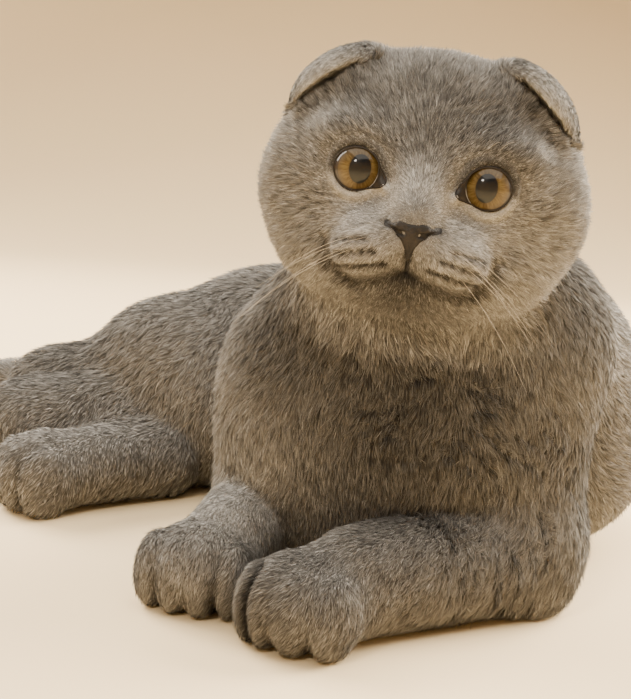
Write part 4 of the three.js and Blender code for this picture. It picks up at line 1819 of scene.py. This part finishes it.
@dataclass
class Eye:
    """An eyeball with its clear bulge, looking at the viewer."""

    head: Head
    side: Side
    iris_radius: float = 8.5
    bulge: float = 0.45
    bulge_edge: float = 0.86
    looks_at: Point = (-38, -560, 190)
    rings: int = 56
    spokes: int = 96

    def build(self) -> Piece:
        """Makes the eyeball, with each point's place across the iris as attributes.

        Returns:
            The object.
        """
        placed = self.head.placed()
        centre = placed.outward(np.array([self.head.eye_centre(self.side)]))[0]
        gaze = np.array(self.looks_at) - centre
        gaze /= np.linalg.norm(gaze)
        across_way = placed.spread(np.array([(1.0, 0, 0)]))
        across_way = across(across_way, gaze[None])[0]
        up_way = np.cross(across_way, gaze)
        up_way *= np.sign(up_way[2])
        opening = np.linspace(0, math.pi, self.rings)[:, None]
        turn = np.arange(self.spokes)[None] * 2 * math.pi / self.spokes
        raised = 1 - fade(opening, 0.2, self.bulge_edge)
        radius = self.head.eye_radius + self.bulge * raised
        over = np.sin(opening) * np.cos(turn)
        up = np.sin(opening) * np.sin(turn)
        ahead = np.cos(opening) + 0 * turn
        unit_points = np.stack([over, up, ahead], -1) @ np.stack([across_way, up_way, gaze])
        points = centre + unit_points * radius[..., None]
        name = f"eyeball_{self.side.name.lower()}"
        ball = build_mesh(name, points.reshape(-1, 3), wrapped_faces(self.rings, self.spokes))
        scale = self.head.eye_radius / self.iris_radius
        behind = np.where(opening > math.pi / 2, 2.0, 1.0)
        store(ball, "iris_across", (over * scale * behind).ravel())
        store(ball, "iris_up", (up * scale * behind).ravel())
        return ball


@dataclass
class LidRim:
    """The bare dark edge of the lids, with the dark corner at the nose."""

    head: Head
    side: Side
    lids: Lids
    inside: float = 8.6
    band: float = 0.45
    lift: float = 0.14
    edge: float = 0.3
    upper_edge: float = 0.25
    rows: int = 7
    steps: int = 160

    def surface(self) -> Form:
        """Gives the face with the eyeball in place.

        Returns:
            The form, in the head's frame.
        """
        ball = Egg(self.head.eye_centre(self.side), (self.head.eye_radius,) * 3)
        face = self.head.whole()

        def shape(points: Array) -> Array:
            """Gives each point's distance."""
            return np.minimum(face(points), ball(points))

        return shape

    def build(self) -> Piece:
        """Makes the rim: a thin sheet from the iris to the lids' edge, and the edge itself.

        Returns:
            The object.
        """
        s = self.side.value
        angle = np.arange(self.steps) * 2 * math.pi / self.steps
        share = np.linspace(0, 1, self.rows)[:, None]
        inner = np.minimum(self.inside, self.lids.radius(angle) - self.band)
        radius = inner + share * (self.lids.radius(angle) - inner)
        x = s * (self.lids.centre[0] + radius * np.cos(angle))
        z = self.lids.centre[1] + radius * np.sin(angle)
        starts = np.stack([x, np.full(x.shape, -70.0), z], -1)
        sheet = struck(self.surface(), starts.reshape(-1, 3), (0, 1, 0)).reshape(starts.shape)
        depth = sheet[..., 1]
        for _ in range(5):
            depth = (np.roll(depth, 1, 1) + depth + np.roll(depth, -1, 1)) / 3
        sheet[..., 1] = depth - self.lift
        thick = self.edge + self.upper_edge * np.clip(np.sin(angle), 0, 1)
        points, faces = tube(sheet[-1], thick, 10, closed=True)
        faces = np.concatenate([wrapped_faces(self.rows, self.steps), faces + sheet.size // 3])
        points = np.concatenate([sheet.reshape(-1, 3), points])
        if s < 0:
            faces = faces[:, ::-1]
        return build_mesh(f"lid_rim_{self.side.name.lower()}", self.head.placed().outward(points), faces)


@dataclass
class NoseLeather:
    """The bare nose leather with its two nostrils."""

    head: Head
    step: float = 0.25
    proud: float = 0.5
    nostril: Stops = ((3.3, -20.9), (5.6, -20.2), (9.7, -18.1))
    hole: tuple[float, float] = (3.9, -20.9)

    @staticmethod
    def outline(local: Array) -> Array:
        """Gives the distance to the leather's edge seen from the front, negative inside.

        Args:
            local: Points of the head's frame.

        Returns:
            A distance for each.
        """
        x, z = np.abs(local[:, 0]), local[:, 2]
        side = 0.853 * (x - 6.6) - 0.522 * (z + 18) - 0.45
        top = z + 17.2 - 0.7 * np.exp(-(((x - 4.2) / 2.2) ** 2)) + 0.22 * np.maximum(x - 5.2, 0) ** 2
        share = np.clip((x - 5.2) / 4.6, 0, 1)
        wing = np.hypot(x - 5.2 - 4.6 * share, z + 19.6 - 1.4 * share) - (0.9 - 0.55 * share)
        return np.minimum(-soft(-side, -top, 1.6), wing)

    def slit(self, x: Array, z: Array) -> Array:
        """Says how deep in a nostril each place is, from 0 to 1.

        Args:
            x: Places across, seen from the front.
            z: Places up.

        Returns:
            A share for each.
        """
        line = FaceLine(self.nostril, 1, 0.62).press(np.abs(x), z)
        away2 = ((np.abs(x) - self.hole[0]) / 1.7) ** 2 + ((z - self.hole[1]) / 1.05) ** 2
        return np.maximum(line, np.exp(-(away2**2)))

    def build(self) -> Piece:
        """Makes the leather as a fine sheet that dips under the coat at its edge.

        Returns:
            The object.
        """
        x, z = np.meshgrid(np.arange(-11, 11, self.step), np.arange(-31, -13, self.step), indexing="ij")
        starts = np.stack([x.ravel(), np.full(x.size, -64.0), z.ravel()], 1)
        edge = self.outline(starts)
        slit = self.slit(x.ravel(), z.ravel())
        points = struck(self.head.skull(), starts, (0, 1, 0))
        points[:, 1] += 1.3 * fade(edge, -0.8, 0.7) - self.proud + 1.1 * slit
        points[:, 1] += 0.35 * np.exp(-((x.ravel() / 0.5) ** 2)) * fade(-z.ravel(), 20.5, 25)
        faces = sheet_faces(x.shape)
        kept = faces[(edge[faces] < 0.6).any(1)]
        used, flat = np.unique(kept, return_inverse=True)
        leather = build_mesh("nose_leather", self.head.placed().outward(points[used]), flat.reshape(-1, 4))
        store(leather, "slit", slit[used])
        return leather


@dataclass
class Whiskers:
    """The thin stiff hairs of the muzzle and brows."""

    cat: Cat
    seed: int = 3
    longest: float = 50
    thickest: float = 0.05
    brow_roots: Stops = ((23, 14.5), (27.5, 15))
    brow_length: float = 13
    root_depth: float = 2.5
    steps: int = 18
    sides: int = 6

    def starts(self) -> list[tuple[Point, Point, float]]:
        """Lists each whisker's root as seen from the front, its direction and its length.

        Returns:
            The list, side by side.
        """
        draw = np.random.default_rng(self.seed)
        found = []
        for side in Side:
            s = side.value
            for number, root in enumerate(WhiskerBed(side).roots()):
                outward = (abs(root[0]) - 7) / 20
                if draw.random() > 0.1 + 0.36 * outward:
                    continue
                way = (s, -0.3 + draw.normal(0, 0.12), -0.3 - 0.035 * number + draw.normal(0, 0.07))
                found.append((root, way, self.longest * draw.uniform(0.5, 1.0)))
            for x, z in self.brow_roots:
                way = (s * 0.45 + s * draw.normal(0, 0.08), -0.7, 0.8)
                found.append(((s * x, -60, z), way, self.brow_length * draw.uniform(0.7, 1)))
        return found

    def build(self) -> Piece:
        """Makes all the whiskers as one piece.

        Returns:
            The object.
        """
        placed = self.cat.head_form
        found = self.starts()
        roots = struck(placed.form, np.array([root for root, _, _ in found], float), (0, 1, 0))
        share = np.linspace(0, 1, self.steps)
        all_points, all_faces, before = [], [], 0
        for root, (_, way, length) in zip(roots, found):
            way = np.array(way) / np.linalg.norm(way)
            sag = np.array((0, 0.14, -0.3)) * length * share[:, None] ** 2
            path = root + way * (share[:, None] * length - self.root_depth) + sag
            radii = self.thickest * (1 - share) ** 0.7 + 0.02
            points, faces = tube(path, radii, self.sides, closed=False, upright=(0.1, 0.9, 0.5))
            all_points.append(points)
            all_faces.append(faces + before)
            before += len(points)
        points = placed.outward(np.concatenate(all_points))
        return build_mesh("whiskers", points, np.concatenate(all_faces))


# Finishes


Colour = tuple[float, float, float, float]


def opaque(red: float, green: float, blue: float) -> Colour:
    """Gives a colour that hides what is behind it."""
    return (red, green, blue, 1.0)


@dataclass(frozen=True)
class Link:
    """A socket that gives a number, with sums that add Math nodes."""

    maker: "NodeMaker"
    socket: bpy.types.NodeSocket

    def sum(self, operation: str, first: Value, second: Value) -> "Link":
        """Adds one Math node."""
        return self.maker.node("Math", {"operation": operation}, {0: first, 1: second})

    def __add__(self, other: Value) -> "Link":
        """Adds."""
        return self.sum("ADD", self, other)

    def __radd__(self, other: Value) -> "Link":
        """Adds to a number."""
        return self.sum("ADD", other, self)

    def __sub__(self, other: Value) -> "Link":
        """Subtracts."""
        return self.sum("SUBTRACT", self, other)

    def __rsub__(self, other: Value) -> "Link":
        """Subtracts from a number."""
        return self.sum("SUBTRACT", other, self)

    def __mul__(self, other: Value) -> "Link":
        """Multiplies."""
        return self.sum("MULTIPLY", self, other)

    def __rmul__(self, other: Value) -> "Link":
        """Multiplies a number."""
        return self.sum("MULTIPLY", other, self)

    def __truediv__(self, other: Value) -> "Link":
        """Divides."""
        return self.sum("DIVIDE", self, other)

    def __pow__(self, other: Value) -> "Link":
        """Raises to a power."""
        return self.sum("POWER", self, other)


class NodeMaker:
    """Makes the nodes of one material."""

    def __init__(self, name: str) -> None:
        """Starts a material with no nodes.

        Args:
            name: The material's name.
        """
        self.material = bpy.data.materials.new(name)
        self.material.use_nodes = True
        self.tree = self.material.node_tree
        self.tree.nodes.clear()

    def node(
        self, kind: str, settings: Optional[dict] = None, sockets: Optional[dict] = None,
        output: Union[int, str] = 0,
    ) -> Link:
        """Adds a node.

        Args:
            kind: The node's type, without its prefix.
            settings: What the node is set to, before its sockets; a ramp's stops are named stops.
            sockets: Values or links by the name or number of the socket.
            output: The output that is used.

        Returns:
            A link from the output.
        """
        made = self.tree.nodes.new(f"ShaderNode{kind}")
        for name, value in (settings or {}).items():
            if name == "stops":
                self.set_stops(made.color_ramp, value)
            else:
                setattr(made, name, value)
        for key, value in (sockets or {}).items():
            if isinstance(value, Link):
                self.tree.links.new(value.socket, made.inputs[key])
            else:
                made.inputs[key].default_value = value
        return Link(self, made.outputs[output])

    def set_stops(self, ramp: bpy.types.ColorRamp, stops: Sequence[tuple[float, Colour]]) -> None:
        """Gives a ramp its colours.

        Args:
            ramp: The ramp.
            stops: Its places from 0 to 1, with their colours.
        """
        while len(ramp.elements) < len(stops):
            ramp.elements.new(0.5)
        for element, (place, colour) in zip(ramp.elements, stops):
            element.position = place
            element.color = colour

    def attribute(self, name: str) -> Link:
        """Reads a number that the mesh carries."""
        return self.node("Attribute", {"attribute_name": name}, output="Fac")

    def between(self, value: Value, low: float, high: float) -> Link:
        """Rises smoothly from 0 at low to 1 at high."""
        settings = {"interpolation_type": "SMOOTHSTEP", "clamp": True}
        return self.node("MapRange", settings, {"Value": value, "From Min": low, "From Max": high})

    def mix(self, share: Value, first: Union[Link, Colour], second: Union[Link, Colour]) -> Link:
        """Mixes two colours."""
        return self.node("Mix", {"data_type": "RGBA"}, {0: share, 6: first, 7: second}, output=2)

    def noise(self, scale: float, detail: float = 2, vector: Optional[Link] = None) -> Link:
        """Adds noise, in the object's own frame unless a vector is given."""
        place = vector or self.node("TexCoord", output="Object")
        return self.node("TexNoise", {}, {"Vector": place, "Scale": scale, "Detail": detail})

    def bump(self, height: Value, strength: float, depth: float) -> Link:
        """Turns a height into a normal; the depth is in metres."""
        return self.node("Bump", {}, {"Height": height, "Strength": strength, "Distance": depth})

    def finish(self, **sockets: Union[Value, Colour]) -> bpy.types.Material:
        """Ends the material in a Principled shader.

        Args:
            sockets: Its values or links, with underscores for the spaces in their names.

        Returns:
            The material.
        """
        named = {name.replace("_", " "): value for name, value in sockets.items()}
        shader = self.node("BsdfPrincipled", {}, named)
        self.end(shader)
        return self.material

    def end(self, shader: Link) -> None:
        """Joins the shader to the material's output."""
        output = self.tree.nodes.new("ShaderNodeOutputMaterial")
        self.tree.links.new(shader.socket, output.inputs["Surface"])


@dataclass(frozen=True)
class FurFinish:
    """The grey plush, with the same marks, painted light and painted shade on the skin as on every tuft."""

    stops: tuple[tuple[float, Colour], ...] = (
        (0.0, opaque(0.0115, 0.0106, 0.0098)),
        (0.25, opaque(0.052, 0.049, 0.0455)),
        (0.5, opaque(0.157, 0.151, 0.143)),
        (0.75, opaque(0.345, 0.336, 0.32)),
        (1.0, opaque(0.64, 0.63, 0.61)),
    )
    middle: float = 0.525
    # Darker tuft roots and skin: partly the coat's own darker undercoat, partly painted shade deep in the
    # coat.
    root_to_tip: float = 0.16
    skin_shade: float = -0.08
    skin_hairs: float = 0.16
    mottle: float = 0.05

    def marks_and_painted_light(self, maker: NodeMaker) -> Link:
        """Gives the lightness that skin and tufts share: the tone attribute, which holds the coat's own
        marks with painted light and shade, and random clouds.
        """
        clouds = maker.noise(42, 3)
        return maker.attribute("tone") + (clouds - 0.5) * self.mottle + self.middle

    def coat(self) -> bpy.types.Material:
        """Makes the finish of the tufts.

        Returns:
            The material.
        """
        maker = NodeMaker("plush_coat")
        tip = maker.attribute("tip")
        # Each tuft darkens towards its root: partly undercoat colour, partly painted shade deep in the coat.
        lightness = self.marks_and_painted_light(maker) + maker.attribute("shade") + (tip - 0.6) * self.root_to_tip
        colour = maker.node("ValToRGB", {"stops": self.stops}, {"Fac": lightness})
        lie = maker.node("Attribute", {"attribute_name": "coat_normal"}, output="Vector")
        return maker.finish(
            Base_Color=colour, Roughness=0.85, Specular_IOR_Level=0.25, Normal=lie,
            Sheen_Weight=0.1, Sheen_Roughness=0.42, Sheen_Tint=opaque(1, 0.95, 0.88),
        )

    def skin(self) -> bpy.types.Material:
        """Makes the finish of the skin under the tufts.

        Returns:
            The material.
        """
        maker = NodeMaker("skin_under_coat")
        hairs = maker.noise(900, 2)
        # The skin is darkened by skin_shade: partly its own darker colour, partly painted shade under the
        # tufts.
        lightness = self.marks_and_painted_light(maker) + (hairs - 0.5) * self.skin_hairs + self.skin_shade
        colour = maker.node("ValToRGB", {"stops": self.stops}, {"Fac": lightness})
        normal = maker.bump(hairs, 0.6, 0.0006)
        return maker.finish(Base_Color=colour, Roughness=0.9, Specular_IOR_Level=0.2, Normal=normal)


@dataclass(frozen=True)
class EyeFinish:
    """An amber iris round an upright pupil, under a clear wet surface."""

    pupil_half_width: float = 0.47
    pupil_half_height: float = 0.63
    amber: Colour = opaque(0.066, 0.0405, 0.01)
    gold: Colour = opaque(0.108, 0.076, 0.026)
    rust_and_lid_shade: Colour = opaque(0.036, 0.022, 0.0065)
    rim: Colour = opaque(0.01, 0.005, 0.003)
    pupil: Colour = opaque(0.003, 0.003, 0.004)
    pupil_reflection: Colour = opaque(0.012, 0.014, 0.012)

    def make(self) -> bpy.types.Material:
        """Makes the material.

        Returns:
            The material.
        """
        maker = NodeMaker("amber_eye")
        x, z = maker.attribute("iris_across"), maker.attribute("iris_up")
        out = (x * x + z * z) ** 0.5
        spoke = maker.node("CombineXYZ", {}, {"X": x / (out + 0.02), "Y": z / (out + 0.02), "Z": out * 0.35})
        fibres = maker.noise(9, 4, spoke)
        flecks = maker.noise(3.5, 2, spoke)
        iris = maker.mix(maker.between(fibres, 0.36, 0.64), self.amber, self.gold)
        iris = maker.mix(maker.between(flecks, 0.52, 0.75) * 0.4, iris, self.rust_and_lid_shade)
        iris = maker.mix(maker.between(out, 0.74, 1.0) * 0.75, iris, self.rust_and_lid_shade)
        # Painted shadow of the upper lid: the iris darkens towards its top.
        iris = maker.mix(maker.between(z, 0.1, 0.95) * 0.55, iris, self.rust_and_lid_shade)
        iris = maker.mix(maker.between(out, 0.96, 1.03), iris, self.rim)
        wide, tall = x / self.pupil_half_width, z / self.pupil_half_height
        to_pupil = (wide * wide + tall * tall) ** 0.5
        # Painted reflection in the lower half of the pupil.
        hole = maker.mix(maker.between(z, 0.02, -0.45) * 0.9, self.pupil, self.pupil_reflection)
        around = maker.mix(maker.between(to_pupil, 1.28, 1.02) * 0.45, iris, self.rust_and_lid_shade)
        colour = maker.mix(maker.between(to_pupil, 1.05, 0.97), around, hole)
        return maker.finish(
            Base_Color=colour, Roughness=0.4, Specular_IOR_Level=0.1,
            Coat_Weight=1.0, Coat_Roughness=0.015, Coat_IOR=1.33,
        )


@dataclass(frozen=True)
class LeatherFinish:
    """Bare dark skin: the nose leather or the edge of a lid."""

    name: str
    base: Colour
    worn: Colour
    roughness: float
    pebble: float
    # Painted shade colour for the inside of the nostrils.
    hollow: Colour = opaque(0.004, 0.003, 0.003)

    def make(self) -> bpy.types.Material:
        """Makes the material.

        Returns:
            The material.
        """
        maker = NodeMaker(self.name)
        place = maker.node("TexCoord", output="Object")
        sockets = {"Vector": place, "Scale": 1500.0}
        cells = maker.node("TexVoronoi", {"feature": "F1"}, sockets, output="Distance")
        clouds = maker.noise(260, 3)
        colour = maker.mix(maker.between(clouds, 0.35, 0.7), self.base, self.worn)
        # Painted shade: the leather darkens the deeper it lies in a nostril's slit.
        deep = maker.between(maker.attribute("slit"), 0.15, 0.75)
        colour = maker.mix(deep, colour, self.hollow)
        normal = maker.bump(cells * -1.0 + clouds * 0.5, self.pebble, 0.0003)
        return maker.finish(
            Base_Color=colour, Roughness=self.roughness, Normal=normal, Specular_IOR_Level=0.3,
        )


LID_RIM = LeatherFinish(
    name="lid_rim", base=opaque(0.006, 0.004, 0.003), worn=opaque(0.014, 0.009, 0.006),
    roughness=0.45, pebble=0.2,
)
NOSE = LeatherFinish(
    name="nose_leather", base=opaque(0.0052, 0.0041, 0.0037), worn=opaque(0.0125, 0.0098, 0.0088),
    roughness=0.55, pebble=0.7,
)


@dataclass(frozen=True)
class WhiskerFinish:
    """Smooth pale horn."""

    colour: Colour = opaque(0.5, 0.45, 0.37)
    darker: Colour = opaque(0.34, 0.3, 0.24)

    def make(self) -> bpy.types.Material:
        """Makes the material.

        Returns:
            The material.
        """
        maker = NodeMaker("pale_whisker")
        cast = maker.noise(120, 1)
        colour = maker.mix(cast * 0.4, self.colour, self.darker)
        return maker.finish(Base_Color=colour, Roughness=0.5)


# The studio


@dataclass(frozen=True)
class Lamp:
    """A soft lamp: where it hangs, its size, its power and its colour."""

    name: str
    place: Point
    size: float
    power: float
    colour: Point


@dataclass(frozen=True)
class Studio:
    """The plain pale floor, the soft lamps and the camera, in metres."""

    camera_place: Point = (-0.038, -0.56, 0.19)
    pitch: float = -8.6
    roll: float = 4.5
    lens: float = 67.8
    floor_half: float = 3.4
    flat_reach: float = 1.5
    floor_rise: float = 0.5
    floor_step: float = 0.1
    floor_colour: Colour = opaque(0.9, 0.71, 0.44)
    air_colour: Colour = opaque(1.0, 0.89, 0.74)
    air_strength: float = 0.17
    lamps: tuple[Lamp, ...] = (
        Lamp("key", (-0.55, -1.1, 0.95), 0.2, 9, (1, 0.91, 0.78)),
        Lamp("top", (0.1, -0.2, 1.5), 2.0, 42, (1, 0.91, 0.78)),
        Lamp("left_side", (-1.1, 0.62, 0.95), 0.9, 42, (1, 0.9, 0.76)),
        Lamp("right_side", (1.3, 0.6, 0.8), 0.9, 98, (1, 0.89, 0.74)),
        Lamp("rim_left", (0.9, 0.9, 0.9), 0.6, 22, (1, 0.87, 0.7)),
        Lamp("rim_right", (-0.9, 0.95, 0.9), 0.6, 22, (1, 0.88, 0.72)),
    )
    lit_point: Point = (0.0, 0.0, 0.14)

    def build(self) -> None:
        """Sets everything up."""
        self.lay_floor()
        for lamp in self.lamps:
            self.hang_lamp(lamp)
        world = bpy.data.worlds.new("air")
        bpy.context.scene.world = world
        world.use_nodes = True
        air = world.node_tree.nodes["Background"]
        air.inputs["Color"].default_value = self.air_colour
        air.inputs["Strength"].default_value = self.air_strength
        camera = bpy.data.objects.new("camera", bpy.data.cameras.new("camera"))
        camera.data.lens = self.lens
        camera.data.clip_start = 0.01
        camera.location = self.camera_place
        pitch = Matrix.Rotation(math.radians(90 + self.pitch), 4, "X")
        turn = pitch @ Matrix.Rotation(math.radians(self.roll), 4, "Z")
        camera.rotation_euler = turn.to_euler()
        bpy.context.scene.collection.objects.link(camera)
        bpy.context.scene.camera = camera

    def lay_floor(self) -> None:
        """Lays the floor, flat under the cat and rising gently far away, so that no horizon shows."""
        marks_light_and_shade = np.arange(-self.floor_half, self.floor_half + self.floor_step / 2, self.floor_step)
        x, y = np.meshgrid(marks_light_and_shade, marks_light_and_shade, indexing="ij")
        z = self.floor_rise * np.maximum(np.hypot(x, y) - self.flat_reach, 0) ** 2
        points = np.stack([x.ravel(), y.ravel(), z.ravel()], 1) / MM
        floor = build_mesh("floor", points, sheet_faces(x.shape))
        maker = NodeMaker("pale_floor")
        worn = opaque(*(0.96 * part for part in self.floor_colour[:3]))
        colour = maker.mix(maker.noise(3, 2), self.floor_colour, worn)
        floor.data.materials.append(maker.finish(Base_Color=colour, Roughness=0.8))

    def hang_lamp(self, lamp: Lamp) -> None:
        """Hangs one soft lamp that points at the cat.

        Args:
            lamp: The lamp.
        """
        light = bpy.data.objects.new(lamp.name, bpy.data.lights.new(lamp.name, "AREA"))
        light.data.size = lamp.size
        light.data.energy = lamp.power
        light.data.color = lamp.colour
        light.location = lamp.place
        aim = Vector(self.lit_point) - Vector(lamp.place)
        light.rotation_euler = aim.to_track_quat("-Z", "Y").to_euler()
        bpy.context.scene.collection.objects.link(light)


FLESH = (
    "head", "neck", "torso", "tail_base", "tail_middle", "tail_tip",
    "foreleg_left", "foreleg_right", "forepaw_left", "forepaw_right",
    "hindleg_left", "hindleg_right", "hindpaw_left", "hindpaw_right", "ear_left", "ear_right",
)


def dress(piece: Piece, finish: bpy.types.Material, slot: str, *stands_for: str) -> None:
    """Gives a piece its finish, its body and the nodes that it stands for, and reports it.

    Args:
        piece: The piece.
        finish: Its material.
        slot: A name for what the piece is finished like; not used.
        stands_for: The nodes that it replaces.
    """
    piece.data.materials.append(finish)
    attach(piece, "root")
    if stands_for:
        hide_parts(*stands_for)
    log.info("%s: %d faces", piece.name, len(piece.data.polygons))


def main() -> None:
    """Builds and dresses every piece, and sets up the studio."""
    logging.basicConfig(level=logging.INFO, format="%(message)s")
    Studio().build()
    cat = Cat()
    fur = FurFinish()
    skin = Skin(cat, CoatMap(cat))
    skin.build()
    dress(skin.piece(), fur.skin(), "coat", *FLESH)
    plush = fur.coat()
    for _, piece in Coat(skin).pieces():
        dress(piece, plush, "coat")
    eye_finish = EyeFinish().make()
    rim_finish = LID_RIM.make()
    for side in Side:
        dress(Eye(cat.head, side).build(), eye_finish, "eye", f"eye_{side.name.lower()}")
        dress(LidRim(cat.head, side, skin.coat.lids).build(), rim_finish, "nose")
    dress(NoseLeather(cat.head).build(), NOSE.make(), "nose", "nose")
    dress(Whiskers(cat).build(), WhiskerFinish().make(), "coat")


if __name__ == "__main__":
    main()
